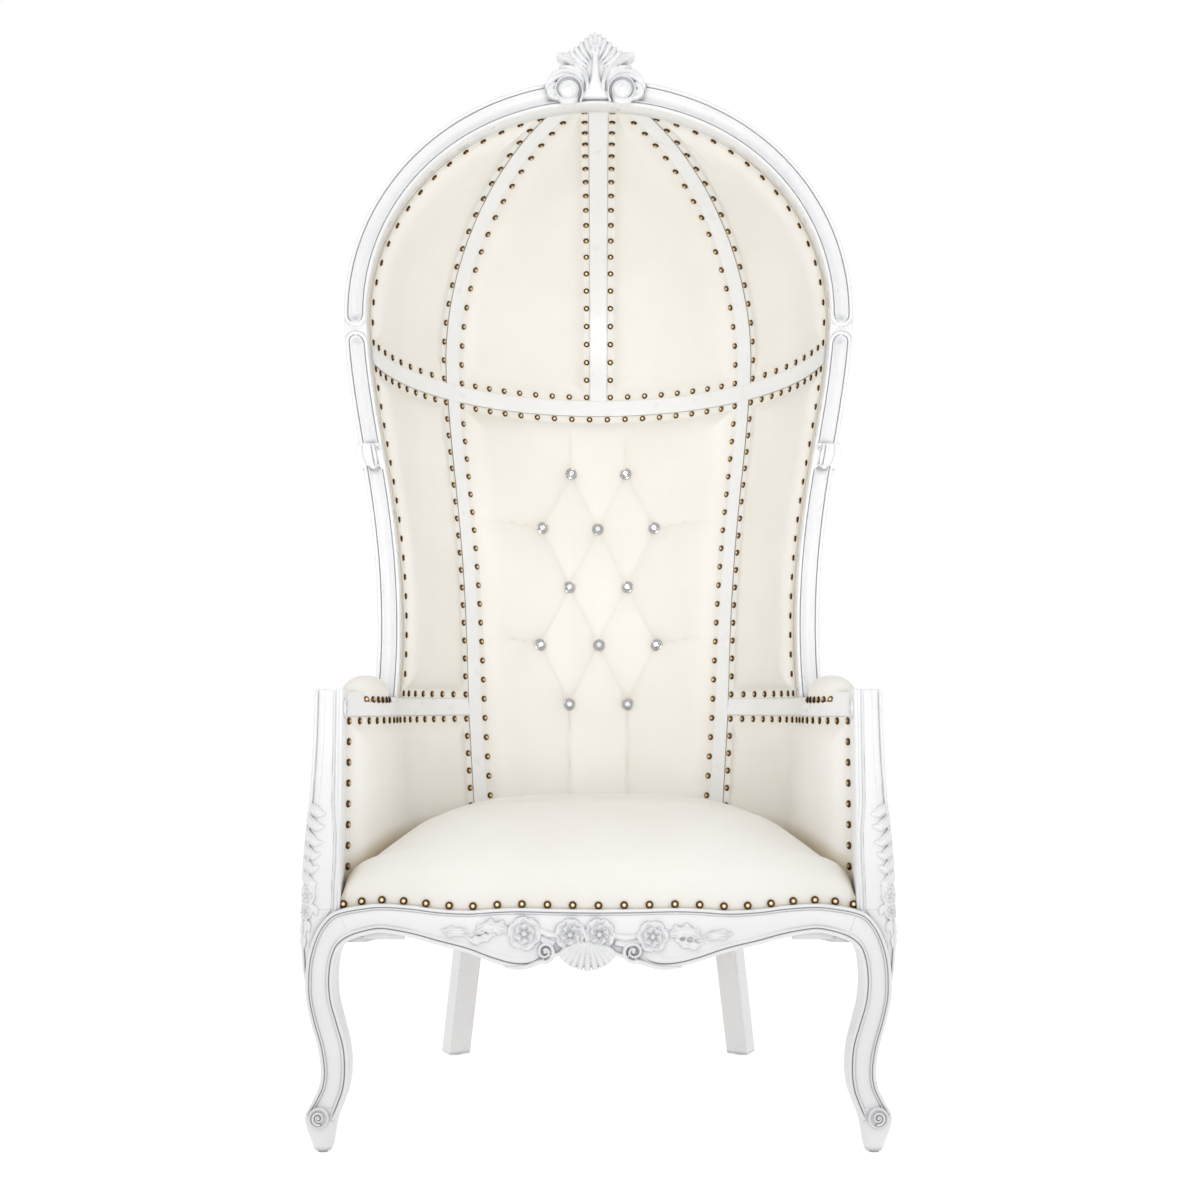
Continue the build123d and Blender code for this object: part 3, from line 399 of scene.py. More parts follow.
def grid_faces(rows, columns, closed=False):
    """The quads of a grid of points, its columns joined up if closed."""
    faces = []
    span = columns if closed else columns - 1
    for r in range(rows - 1):
        for c in range(span):
            a = r * columns + c
            b = r * columns + (c + 1) % columns
            faces.append((a, b, b + columns, a + columns))
    return faces


def rim_of(rows, columns):
    """The grid's border indices, once round."""
    top = list(range(columns))
    right = [r * columns + columns - 1 for r in range(1, rows)]
    bottom = [(rows - 1) * columns + c for c in range(columns - 2, -1, -1)]
    left = [r * columns for r in range(rows - 2, 0, -1)]
    return top + right + bottom + left


def slab_between(front, back):
    """A closed shell from a front grid and a back grid of the same size."""
    rows, columns = front.shape[:2]
    count = rows * columns
    faces = grid_faces(rows, columns)
    faces += [tuple(i + count for i in face[::-1]) for face in grid_faces(rows, columns)]
    rim = rim_of(rows, columns)
    for a, b in zip(rim, rim[1:] + rim[:1]):
        faces.append((b, a, a + count, b + count))
    return np.concatenate([front.reshape(-1, 3), back.reshape(-1, 3)]), faces


def lofted(rings):
    """A closed tube through rings of points, capped at both ends."""
    rows, columns = rings.shape[:2]
    faces = grid_faces(rows, columns, closed=True)
    faces.append(tuple(range(columns))[::-1])
    faces.append(tuple((rows - 1) * columns + c for c in range(columns)))
    return rings.reshape(-1, 3), faces


def outward(points, faces):
    """The faces, turned so that their shell encloses a positive volume."""
    points = np.asarray(points, float)
    corners = np.array([(face[0], face[i], face[i + 1]) for face in faces for i in range(1, len(face) - 1)])
    a, b, c = points[corners[:, 0]], points[corners[:, 1]], points[corners[:, 2]]
    volume = np.einsum("ij,ij->", a, np.cross(b, c))
    return faces if volume > 0 else [face[::-1] for face in faces]


def lengths_along(line):
    """The distance along a line of points, from its start."""
    steps = np.linalg.norm(np.diff(line, axis=0), axis=1)
    return np.concatenate([[0.0], np.cumsum(steps)])


def resampled(line, count, *others):
    """A line, and values that go with it, at evenly spaced points."""
    along = lengths_along(line)
    even = np.linspace(0, along[-1], count)
    results = []
    for values in (line, *others):
        values = np.asarray(values, float)
        columns = [np.interp(even, along, values[:, i]) for i in range(values.shape[1])]
        results.append(np.stack(columns, axis=1))
    return results


def smooth_line(points, count):
    """A smooth curve through a few points, evenly resampled."""
    points = np.asarray(points, float)
    ends = np.concatenate([[2 * points[0] - points[1]], points, [2 * points[-1] - points[-2]]])
    fine = []
    for i in range(1, len(ends) - 2):
        p0, p1, p2, p3 = ends[i - 1:i + 3]
        for t in np.linspace(0, 1, 16, endpoint=False):
            fine.append(0.5 * (2 * p1 + (p2 - p0) * t + (2 * p0 - 5 * p1 + 4 * p2 - p3) * t ** 2
                               + (3 * p1 - p0 - 3 * p2 + p3) * t ** 3))
    fine.append(points[-1])
    return resampled(np.array(fine), count)[0]


# The hood's surface

def cubic_pair(levels):
    """Two cubics that meet smoothly at the middle of five levels."""
    middle, value = levels[2]
    others = [level for i, level in enumerate(levels) if i != 2]
    rows, sides = [], []
    for z, w in others:
        v = (z - middle) / 100
        rows.append([v, v * v, v ** 3 if v < 0 else 0.0, v ** 3 if v > 0 else 0.0])
        sides.append(w - value)
    return middle, value, np.linalg.solve(np.array(rows), np.array(sides))


def depth_by_rake(z):
    """The hood's depth at a height, on its raked back."""
    return DOME_DEPTH - (RING - z) * tan(radians(BACK_RAKE))


DEPTH_LEVELS = tuple((z, SPRING_SIZE[1] if z == SPRING else depth_by_rake(z)) for z, _ in WIDTH_LEVELS)
WIDTH_CURVE = cubic_pair(WIDTH_LEVELS)
DEPTH_CURVE = cubic_pair(DEPTH_LEVELS)


def on_curve(curve, z):
    """A pair of cubics' value at a height."""
    middle, value, (p, q, low, high) = curve
    v = (z - middle) / 100
    return value + p * v + q * v * v + (low if v < 0 else high) * v ** 3


def oval_at(z):
    """Half width and depth of the hood's oval at a height below the spring."""
    if z < ARM_LEVEL:
        share = (z - FOOT_LEVEL) / (ARM_LEVEL - FOOT_LEVEL)
        return FOOT_HALF_WIDTH + share * (WIDTH_LEVELS[0][1] - FOOT_HALF_WIDTH), depth_by_rake(z)
    return on_curve(WIDTH_CURVE, z), on_curve(DEPTH_CURVE, z)


def line_hit(start, run, a, b):
    """Where a plan line leaves an oval of the hood."""
    px, py = start[0] / a, (start[1] - HOOD_FRONT) / b
    dx, dy = run[0] / a, run[1] / b
    square, cross, rest = dx * dx + dy * dy, px * dx + py * dy, px * px + py * py - 1
    t = (-cross + sqrt(max(cross * cross - square * rest, 0.0))) / square
    return start[0] + t * run[0], start[1] + t * run[1]


def run_of(line):
    """The step from a plan line's first point to its second."""
    (x0, y0), (x1, y1) = line
    return x1 - x0, y1 - y0


def angle_on(line, a, b):
    """The angle on an oval of the hood at which a plan line leaves it."""
    x, y = line_hit(line[0], run_of(line), a, b)
    return np.arctan2((y - HOOD_FRONT) / b, x / a)


def arm_arc(start, end, y):
    """The arm's plan arc at a depth ahead of the hood: its x, and its way out."""
    flare, run = end - start, HOOD_FRONT - POST_BACK
    radius = (flare ** 2 + run ** 2) / (2 * flare)
    drop = sqrt(radius ** 2 - (HOOD_FRONT - y) ** 2)
    return start + radius - drop, (drop / radius, (HOOD_FRONT - y) / radius, 0.0)


def beside_line(line, distance):
    """A plan line moved sideways, to its left if positive."""
    (x0, y0), (x1, y1) = line
    length = sqrt((x1 - x0) ** 2 + (y1 - y0) ** 2)
    nx, ny = -(y1 - y0) / length, (x1 - x0) / length
    return ((x0 + nx * distance, y0 + ny * distance), (x1 + nx * distance, y1 + ny * distance))


def at_y(line, y):
    """The point of a straight plan line at a given y."""
    (x0, y0), (x1, y1) = line
    return x0 + (y - y0) * (x1 - x0) / (y1 - y0), y


def meridian(start, run, low, count):
    """Points and growth directions up the hood in an upright plane, down to up."""
    a, b = SPRING_SIZE
    px, py = start[0] / a, (start[1] - HOOD_FRONT) / b
    top = np.arcsin(sqrt(max(1 - px * px - py * py, 0.0)))
    points, grow = [], []
    for z in np.linspace(low, SPRING, 6, endpoint=False):
        wide, deep = oval_at(z)
        x, y = line_hit(start, run, wide, deep)
        points.append((x, y, z))
        grow.append((x / wide, (y - HOOD_FRONT) / deep, 0.0))
    for lift in np.linspace(0, top, 90):
        x, y = line_hit(start, run, a * cos(lift) + 1e-9, b * cos(lift) + 1e-9)
        points.append((x, y, SPRING + DOME_RISE * sin(lift)))
        grow.append((x / a, (y - HOOD_FRONT) / b, sin(lift)))
    return resampled(np.array(points), count, np.array(grow))


def plan_row(z, from_line, to_line, count, front=None):
    """Points and growth directions along the hood's wall at one height.

    It runs from one plan line to another, or from a depth ahead of the hood.
    """
    a, b = oval_at(z)
    points, grow = [], []
    first = 0.0
    if front is None:
        first = angle_on(from_line, a, b)
    else:
        for y in np.linspace(front, HOOD_FRONT, 40, endpoint=False):
            x, direction = arm_arc(a, POST_SPACE, y)
            points.append((x, y, z))
            grow.append(direction)
    for turn in np.linspace(first, angle_on(to_line, a, b), 80):
        points.append((a * cos(turn), HOOD_FRONT + b * sin(turn), z))
        grow.append((cos(turn), sin(turn), 0.0))
    return resampled(np.array(points), count, np.array(grow))


def edge_distance(grid, fan=False):
    """Each point's distance to the nearest edge of its grid. A fan has no upper edge."""
    rows, columns = grid.shape[:2]
    edges = [grid[0], grid[:, 0], grid[:, -1]]
    if not fan:
        edges.append(grid[-1])
    edge = np.concatenate(edges)
    flat = grid.reshape(-1, 3)
    nearest = np.full(len(flat), 1e9)
    for start in range(0, len(edge), 60):
        part = edge[start:start + 60]
        gap = np.linalg.norm(flat[:, None, :] - part[None, :, :], axis=2).min(axis=1)
        nearest = np.minimum(nearest, gap)
    return nearest.reshape(rows, columns)


def crown(distance, run=CROWN_RUN):
    """How far the padding has risen, from 0 at the nailed edge to 1."""
    inside = np.clip(distance - BORDER, 0, None)
    return (1 - np.exp(-((inside / run) ** 1.25))) * (0.9 + 0.1 * np.clip(inside / 90, 0, 1))


def nail_shape():
    """A domed nail head that stands on the XY plane, with tones by height that place its painted brim shade
    and crown highlight.
    """
    rings = [(1.0, 0.0), (1.03, 0.12), (0.97, 0.3), (0.8, 0.62), (0.52, 0.88), (0.24, 0.98)]
    points, tones = [], []
    for radius, rise in rings:
        points += circle(NAIL_RADIUS * radius, NAIL_SIDES, NAIL_RISE * rise)
        tones += [rise] * NAIL_SIDES
    points.append((0.0, 0.0, NAIL_RISE))
    tones.append(1.0)
    faces = grid_faces(len(rings), NAIL_SIDES, closed=True)
    last = (len(rings) - 1) * NAIL_SIDES
    faces += [(last + i, last + (i + 1) % NAIL_SIDES, len(points) - 1) for i in range(NAIL_SIDES)]
    faces.append(tuple(range(NAIL_SIDES))[::-1])
    return np.array(points), faces, np.array(tones)


NAIL = nail_shape()


def put_nail(soup, place, normal):
    """One nail head at a point, square to the surface there."""
    normal = normal / np.linalg.norm(normal)
    side = np.cross(normal, [0.0, 0.0, 1.0])
    if np.linalg.norm(side) < 0.1:
        side = np.array([1.0, 0.0, 0.0])
    side = side / np.linalg.norm(side)
    other = np.cross(normal, side)
    points, faces, tones = NAIL
    soup.add(place + points @ np.array([side, other, normal]), faces, tones)


def grid_point(grid, u, v):
    """A grid's value at shares across and up it."""
    rows, columns = grid.shape[:2]
    r, c = v * (rows - 1), u * (columns - 1)
    r0, c0 = min(int(r), rows - 2), min(int(c), columns - 2)
    fr, fc = r - r0, c - c0
    low = grid[r0, c0] * (1 - fc) + grid[r0, c0 + 1] * fc
    high = grid[r0 + 1, c0] * (1 - fc) + grid[r0 + 1, c0 + 1] * fc
    return low * (1 - fr) + high * fr


def nail_loop(base):
    """Shares (u, v) of a closed path inside the grid's edges, as four runs."""
    rows, columns = base.shape[:2]
    across = np.array([lengths_along(base[r])[-1] for r in range(rows)])
    up = np.array([lengths_along(base[:, c])[-1] for c in range(columns)])
    low = NAIL_INSET / np.interp(0.5 * (columns - 1), np.arange(columns), up)
    steps = np.linspace(low, 1 - low, 300)
    widths = np.interp(steps * (rows - 1), np.arange(rows), across)
    left = [(NAIL_INSET / width, v) for v, width in zip(steps, widths) if width > 2.2 * NAIL_INSET]
    right = [(1 - u, v) for u, v in left[::-1]]
    top = [(u, left[-1][1]) for u in np.linspace(left[-1][0], right[0][0], 60)]
    bottom = [(u, left[0][1]) for u in np.linspace(right[-1][0], left[0][0], 60)]
    return [left, top, right, bottom]


def nail_panel(soup, base, grow, level, outside, gap=NAIL_GAP):
    """Nails round a panel, on its border at a distance from the hood's face."""
    for run in nail_loop(base):
        line = np.array([grid_point(base, u, v) for u, v in run])
        along = lengths_along(line)
        if along[-1] < gap * 0.6:
            continue
        count = max(1, round(along[-1] / gap))
        for i in range(count):
            at = along[-1] * i / count
            u = np.interp(at, along, [uv[0] for uv in run])
            v = np.interp(at, along, [uv[1] for uv in run])
            direction = grid_point(grow, u, v)
            place = grid_point(base, u, v) + direction * level
            put_nail(soup, place, direction if outside else -direction)


def leather_side(base, grow, outside, rise, gap=NAIL_GAP):
    """The leather and the nails on one side of an opening."""
    edge, top, back = INSIDE_EDGE, INSIDE_CROWN, INSIDE_BACK
    if outside:
        edge, top, back = OUTSIDE_EDGE, OUTSIDE_CROWN, OUTSIDE_BACK
    level = edge + (top - edge) * rise
    leather, nails = Soup(), Soup()
    leather.shell(*slab_between(base + grow * level[..., None], base + grow * back))
    nail_panel(nails, base, grow, edge, outside, gap)
    return leather, nails


def panel_pair(name, base, grow, gap=NAIL_GAP, fan=False):
    """The inside and outside leather of one opening, on both hands, with nails."""
    rise = crown(edge_distance(base, fan))
    for side in ("inside", "outside"):
        leather, nails = leather_side(base, grow, side == "outside", rise, gap)
        for hand, cover, studs in both_hands(leather, nails):
            leather_piece(cover, f"{name}_{side}_{hand}_leather", f"{name}_{side}_{hand}")
            studs.piece(f"{name}_{side}_{hand}_nails", "steel", BRASS)


def dome_grid(first_start, first_run, last_start, last_run):
    """A grid over the dome between two upright planes."""
    low = RING_HIGH + CLEARANCE
    a, b = oval_at(low)
    ends = [line_hit(first_start, first_run, a, b), line_hit(last_start, last_run, a, b)]
    turns = [np.arctan2((y - HOOD_FRONT) / b, x / a) for x, y in ends]
    base, grow = [], []
    for share in np.linspace(0, 1, 60):
        start = tuple(p + share * (q - p) for p, q in zip(first_start, last_start))
        turn = turns[0] + share * (turns[1] - turns[0])
        end = (a * cos(turn), HOOD_FRONT + b * sin(turn))
        points, directions = meridian(start, (end[0] - start[0], end[1] - start[1]), low, 130)
        base.append(points)
        grow.append(directions)
    return np.stack(base[::-1], axis=1), np.stack(grow[::-1], axis=1)


def make_dome_panels():
    """The gores beside the middle rib, and the side panels behind the arch."""
    ahead = ARCH_BACK + CLEARANCE
    half = RIB_WIDTH / 2 + CLEARANCE
    inner = beside_line(RIB_LINE, half)
    start = (max(at_y(inner, ahead)[0], half), ahead)
    panel_pair("dome_gore", *dome_grid((half, ahead), (0.0, 1.0), start, run_of(inner)))
    corner = at_y(beside_line(RIB_LINE, -half), ahead)
    panel_pair("dome_side", *dome_grid(corner, run_of(inner), corner, (1.0, 0.0)), fan=True)


def wall_grid(lows, highs, rows, columns, from_line, to_line, front=None):
    """A grid over the hood's wall between two heights."""
    base, grow = [], []
    for z in np.linspace(lows, highs, rows):
        points, directions = plan_row(z, from_line, to_line, columns, front)
        base.append(points)
        grow.append(directions)
    return np.stack(base), np.stack(grow)


def make_wall_panels():
    """The wings beside the back, and the arm sides."""
    edge = beside_line(STILE_LINE, -STILE_WIDTH / 2 - CLEARANCE)
    ahead = ARCH_BACK + CLEARANCE
    base, grow = wall_grid(ARM_HIGH + CLEARANCE, RING_LOW - CLEARANCE, 130, 60,
                           ((0.0, ahead), (900.0, ahead)), edge)
    panel_pair("wing_panel", base, grow, WALL_NAIL_GAP)
    base, grow = wall_grid(SEAT_DECK + CLEARANCE, ARM_LOW - CLEARANCE, 70, 110, None, edge,
                           POST_BACK + CLEARANCE)
    panel_pair("arm_panel", base, grow, ARM_NAIL_GAP)


# The tufted back

TUFT_TOP = 1110.0
TUFT_STEP = 113.7
TUFT_GAP = 112.0
TUFT_ROWS = 5
# The rise of a side pleat at shares of its run
SIDE_PLEAT = ((0.0, 0.0), (0.35, 5.0), (0.7, 9.0), (1.0, 8.0))
BACK_ROWS, BACK_COLUMNS = 300, 190
BACK_SAMPLES = 200
BACK_CROWN_RUN = 20.0
CRYSTAL_RADIUS = 11.5
CRYSTAL_SIDES = 12
CRYSTAL_RIM_SIDES = 24
# Share of the radius, rise and tone (the brightness of its painted glint), or turn, of the rim's and the
# facets' rings
CRYSTAL_RIM = ((1.0, 0.0, 0.15), (1.0, 2.2, 0.25), (0.86, 3.0, 0.9), (0.8, 2.6, 0.2))
CRYSTAL_FACETS = ((0.8, 2.4, 0.0), (0.62, 4.6, 0.5), (0.36, 6.2, 0.0))
# How bright each facet's painted glint is, facet by facet in turn
FACET_GLINT_TONES = (0.05, 0.95, 0.3, 0.75, 0.12, 0.85)


def tuft_places():
    """Across and up for each button: rows of two and three in turn."""
    places = []
    for row in range(TUFT_ROWS):
        z = TUFT_TOP - row * TUFT_STEP
        across = (-TUFT_GAP, 0.0, TUFT_GAP) if row % 2 else (-TUFT_GAP / 2, TUFT_GAP / 2)
        places += [(x, z) for x in across]
    return places


def pleat_lines():
    """The folds of the tufting as pairs of points, in x and z."""
    places = tuft_places()
    folds = []
    for i, (x0, z0) in enumerate(places):
        for x1, z1 in places[i + 1:]:
            if abs(abs(x1 - x0) - TUFT_GAP / 2) < 1 and abs(abs(z1 - z0) - TUFT_STEP) < 1:
                folds.append([(x0, z0), (x1, z1)])
    low_row = TUFT_TOP - (TUFT_ROWS - 1) * TUFT_STEP
    for side in (-1, 1):
        x = side * TUFT_GAP / 2
        folds.append([(x, TUFT_TOP), (x + side * 1.0, RING_LOW - 16)])
        folds.append([(x, low_row), (x, SEAT_DECK + 40)])
        for row, run in ((1, 112.0), (3, 98.0)):
            z = TUFT_TOP - row * TUFT_STEP
            curve = [(side * (TUFT_GAP + run * s), z + rise) for s, rise in SIDE_PLEAT]
            folds += [[p, q] for p, q in zip(curve, curve[1:])]
    return folds


def fold_distance(x, z, folds):
    """The distance of each point to the nearest fold, in the plane of the back."""
    nearest = np.full(x.shape, 1e9)
    for (x0, z0), (x1, z1) in folds:
        dx, dz = x1 - x0, z1 - z0
        share = np.clip(((x - x0) * dx + (z - z0) * dz) / (dx * dx + dz * dz), 0, 1)
        nearest = np.minimum(nearest, np.hypot(x - x0 - share * dx, z - z0 - share * dz))
    return nearest


def crystal_shape():
    """A brilliant-cut stone in a rim, standing on the XY plane, with tones that set its painted glints."""
    points, tones = [], []
    for share, rise, tone in CRYSTAL_RIM:
        points += circle(CRYSTAL_RADIUS * share, CRYSTAL_RIM_SIDES, rise)
        tones += [tone] * CRYSTAL_RIM_SIDES
    faces = grid_faces(len(CRYSTAL_RIM), CRYSTAL_RIM_SIDES, closed=True)
    faces.append(tuple(range(CRYSTAL_RIM_SIDES))[::-1])
    soup = Soup()
    soup.add(points, faces, tones)
    low, middle, top = [circle(CRYSTAL_RADIUS * share, CRYSTAL_SIDES, rise, shift)
                        for share, rise, shift in CRYSTAL_FACETS]
    pairs = [(i, (i + 1) % CRYSTAL_SIDES) for i in range(CRYSTAL_SIDES)]
    facets = []
    for i, j in pairs:
        facets += [(low[i], low[j], middle[i]), (low[j], middle[j], middle[i])]
    for i, j in pairs:
        facets += [(middle[i], middle[j], top[j]), (middle[i], top[j], top[i])]
    for step, facet in enumerate(facets):
        soup.add(facet, [(0, 1, 2)], [FACET_GLINT_TONES[step % len(FACET_GLINT_TONES)]] * 3)
    soup.add(top, [tuple(range(CRYSTAL_SIDES))], [0.9] * CRYSTAL_SIDES)
    return soup


def back_grid():
    """A grid over the hood's wall between the two stiles."""
    edge = beside_line(STILE_LINE, STILE_WIDTH / 2 + CLEARANCE)
    base, grow = [], []
    for z in np.linspace(SEAT_DECK + CLEARANCE, RING_LOW - CLEARANCE, BACK_ROWS):
        a, b = oval_at(z)
        first = angle_on(edge, a, b)
        turns = np.linspace(first, pi - first, BACK_SAMPLES)
        level = np.full(BACK_SAMPLES, z)
        line = np.stack([a * np.cos(turns), HOOD_FRONT + b * np.sin(turns), level], axis=1)
        directions = np.stack([np.cos(turns), np.sin(turns), np.zeros(BACK_SAMPLES)], axis=1)
        points, directions = resampled(line, BACK_COLUMNS, directions)
        base.append(points)
        grow.append(directions)
    return np.stack(base), np.stack(grow)


def tufted_level(x, z, rise):
    """The level of the padding, drawn in at the buttons and along the folds."""
    fold = fold_distance(x, z, pleat_lines())
    nearest = np.min([np.hypot(x - bx, z - bz) for bx, bz in tuft_places()], axis=0)
    dent = 11.0 * np.exp(-(nearest / 17.0) ** 1.4) + 5.0 * np.exp(-(nearest / 42.0) ** 2)
    crease = 2.6 * np.exp(-(fold / 2.2)) + 4.2 * np.exp(-(fold / 17.0) ** 1.3)
    sunk = np.clip(dent + crease * rise, 0, 15.0)
    return INSIDE_EDGE + (BACK_CROWN - INSIDE_EDGE) * rise + sunk * rise


def set_stones(front, x, z):
    """A crystal on each button, square to the leather there and turned at random."""
    stones, stone = Soup(), crystal_shape()
    points, tones = np.concatenate(stone.points), np.concatenate(stone.tones)
    for bx, bz in tuft_places():
        r, c = np.unravel_index(np.argmin(np.hypot(x - bx, z - bz)), x.shape)
        du = front[r, c + 8] - front[r, c - 8]
        dv = front[r + 8, c] - front[r - 8, c]
        normal = np.cross(du, dv)
        if normal[1] > 0:
            normal = -normal
        normal /= np.linalg.norm(normal)
        across = du / np.linalg.norm(du)
        up = np.cross(normal, across)
        turn = rng.uniform(0, 2 * pi)
        spun = np.array([cos(turn) * across + sin(turn) * up, -sin(turn) * across + cos(turn) * up, normal])
        stones.add(front[r, c] + points @ spun, stone.faces, tones)
    gems = stones.piece("crystal_button_stones", "crystal", smooth=False)
    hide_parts("crystal_buttons")


def make_back():
    """The deep-buttoned back, its crystals, its nails and the outside back."""
    base, grow = back_grid()
    x, z = base[..., 0], base[..., 2]
    level = tufted_level(x, z, crown(edge_distance(base), BACK_CROWN_RUN))
    front = base + grow * level[..., None]
    leather, nails = Soup(), Soup()
    leather.shell(*slab_between(front, base + grow * INSIDE_BACK))
    nail_panel(nails, base, grow, INSIDE_EDGE, False)
    leather_piece(leather, "back_panel_inside_leather", "back_panel_inside")
    nails.piece("back_panel_inside_nails", "steel", BRASS)
    set_stones(front, x, z)
    base, grow = base[::3, ::3], grow[::3, ::3]
    shell, studs = leather_side(base, grow, True, crown(edge_distance(base)))
    leather_piece(shell, "back_panel_outside_leather", "back_panel_outside")
    studs.piece("back_panel_outside_nails", "steel", BRASS)


# Mouldings

COVE_DEPTH = 6.5


def bead(x, centre, radius, height):
    """The height of a round bead at places across a moulding."""
    share = (np.asarray(x) - centre) / radius
    return height * np.sqrt(np.clip(1 - share ** 2, 0, None))


def moulding(outer, inner):
    """Height over the groove floor, from distances to the two edges."""
    outer, inner = np.asarray(outer, float), np.asarray(inner, float)
    height = bead(outer, 3.2, 3.3, 4.0) + bead(outer, 8.4, 1.6, 2.6)
    height = np.maximum(height, bead(inner, 2.6, 2.7, 3.8))
    height = np.maximum(height, bead(inner, 7.0, 1.4, 2.8))
    share = np.clip((outer - 10.5) / np.clip(outer + inner - 19.5, 1, None), 0, 1)
    hollow = np.where((outer > 10.5) & (inner > 9.0), -COVE_DEPTH * np.sin(pi * share) ** 0.8, 0.0)
    return height + hollow


def across_samples(width):
    """Places across a moulding, closer where its beads are."""
    outer = np.concatenate([np.linspace(0, 6.6, 9), np.linspace(6.8, 10.4, 7)])
    inner = width - np.concatenate([np.linspace(0, 5.4, 8), np.linspace(5.7, 8.8, 7)])
    middle = np.linspace(10.9, width - 9.3, 12)
    return np.concatenate([outer, middle, inner[::-1]])


def front_path(grow, t):
    """The arch and hood posts in the front plane, from an arm to the crest.

    t is a height up to the spring, and past it the spring plus an angle.
    """
    if t <= SPRING:
        return oval_at(t)[0] + grow, t
    turn = t - SPRING
    sag = np.interp(grow, (ARCH_INNER, ARCH_OUTER), ARCH_SAG) * sin(turn) ** 4
    x = (SPRING_SIZE[0] + grow) * cos(turn)
    return x, SPRING + (DOME_RISE + grow) * sin(turn) - sag


NODE_LENGTH = 4.0
# The bar behind the moulding: growth over the hood's oval, and y
ARCH_BODY = ((ARCH_INNER, ARCH_FACE + 8.0), (ARCH_INNER, ARCH_BACK - 4.0), (ARCH_INNER + 2, ARCH_BACK),
             (ARCH_OUTER - 3, ARCH_BACK), (ARCH_OUTER, ARCH_BACK - 3.0), (ARCH_OUTER, ARCH_FACE + 8.0))


def arch_height(distance_out, width, along):
    """The arch's moulding, with its hollows ending in round heads at the node."""
    centre = width / 2
    cap = centre + NODE_LENGTH
    bent = np.hypot(distance_out - centre, max(cap - abs(along), 0.0))
    wrapped = np.where(bent < centre, moulding(centre - bent, width - (centre - bent)), 0.2)
    return np.where(abs(along) >= cap, moulding(distance_out, width - distance_out), wrapped)


def make_arch_half(node, samples):
    """A run of the front moulding, as a bar with a carved face."""
    width = ARCH_OUTER - ARCH_INNER
    places = across_samples(width)
    line = np.array([front_path((ARCH_INNER + ARCH_OUTER) / 2, t) for t in samples])
    along = lengths_along(line)
    level = np.interp(NODE_HEIGHT, samples, along)
    rings = []
    for t, distance in zip(samples, along):
        height = arch_height(places, width, distance - level)
        face = [(ARCH_OUTER - place, ARCH_FACE + 4.2 - rise) for place, rise in zip(places, height)]
        ring = []
        for grow, y in (*face, *ARCH_BODY):
            x, z = front_path(grow, t)
            ring.append((x, y, z))
        rings.append(ring)
    soup = Soup()
    soup.shell(*lofted(np.array(rings)))
    wooden_pair(soup, node, "moulding")


def make_arch():
    """The arch and the hood posts under it."""
    turns = SPRING + np.linspace(0.0, pi / 2, 190)[1:]
    make_arch_half("arch", np.concatenate([np.linspace(NODE_HEIGHT, SPRING, 16), turns]))
    straight = np.linspace(ARM_HIGH, NODE_HEIGHT - 30, 120)
    make_arch_half("hood_post", np.concatenate([straight, np.linspace(NODE_HEIGHT - 29, NODE_HEIGHT, 24)]))


# The front rail and legs

# The upper edge's x and z, the lower edge's x and z, the face's y and the back's y
STATIONS = (
    (0, 352, 0, 293, -392, -362), (60, 352.6, 60, 285, -392, -362), (88, 353.5, 88, 268.5, -392, -362),
    (117, 354, 117, 267, -392, -362), (150, 353, 150, 275, -392, -362), (191, 350.5, 191, 289, -392, -362),
    (235, 352.5, 235, 300, -392, -362), (270, 357, 270, 309.5, -392, -362),
    (300, 359.6, 300, 315.5, -392.5, -362), (326, 360.3, 322, 318, -394, -360),
    (350, 358, 341, 315.2, -397, -356), (374, 354, 358, 310.5, -400, -352),
    (392, 347.5, 370, 304.5, -402.5, -350), (406, 333, 379, 296, -404, -350),
    (416, 315, 383.5, 285, -405, -350), (423.3, 293, 386, 272, -405.5, -350),
    (427, 272, 387.2, 256, -405, -350.5), (428, 250, 387, 238, -404, -351.5),
    (427.3, 225, 384, 215, -401.5, -352.7), (421, 190, 376, 185, -395, -352.5),
    (411.5, 152, 367.5, 151, -388.5, -351.5), (407, 118, 365.5, 116, -385, -348),
    (409, 95, 368, 90, -386.5, -348.5), (415, 80, 373, 74, -390.5, -349), (422, 66, 379, 58, -396, -351),
    (426.5, 58, 384, 49, -398.5, -352))
RAIL_END = 380.0
LIP_BACK = -386.2
LIP_LEVEL = 341.0
GARLAND_SPREAD = 150.0
GARLAND_SHIFT = 16.0


def shifted(x, share=1.0):
    """The rail's carving stands a little to one side, most in the middle."""
    return x - GARLAND_SHIFT * share * np.exp(-(x / GARLAND_SPREAD) ** 2)


def frame_moulding(outer, inner, low_share):
    """Height over the field's floor: two beads along each edge, a soft field."""
    height = np.maximum(bead(outer, 2.7, 2.8, 3.8), bead(outer, 7.2, 1.5, 2.7))
    low = np.maximum(bead(inner, 3.1, 3.2, 3.9), bead(inner, 8.4, 1.7, 2.8)) * low_share
    share = np.clip((outer - 9.0) / np.clip(outer + inner - 19.5, 1, None), 0, 1)
    field = 1.5 * np.sin(pi * share) ** 0.7
    return np.maximum(np.maximum(height, low), field)


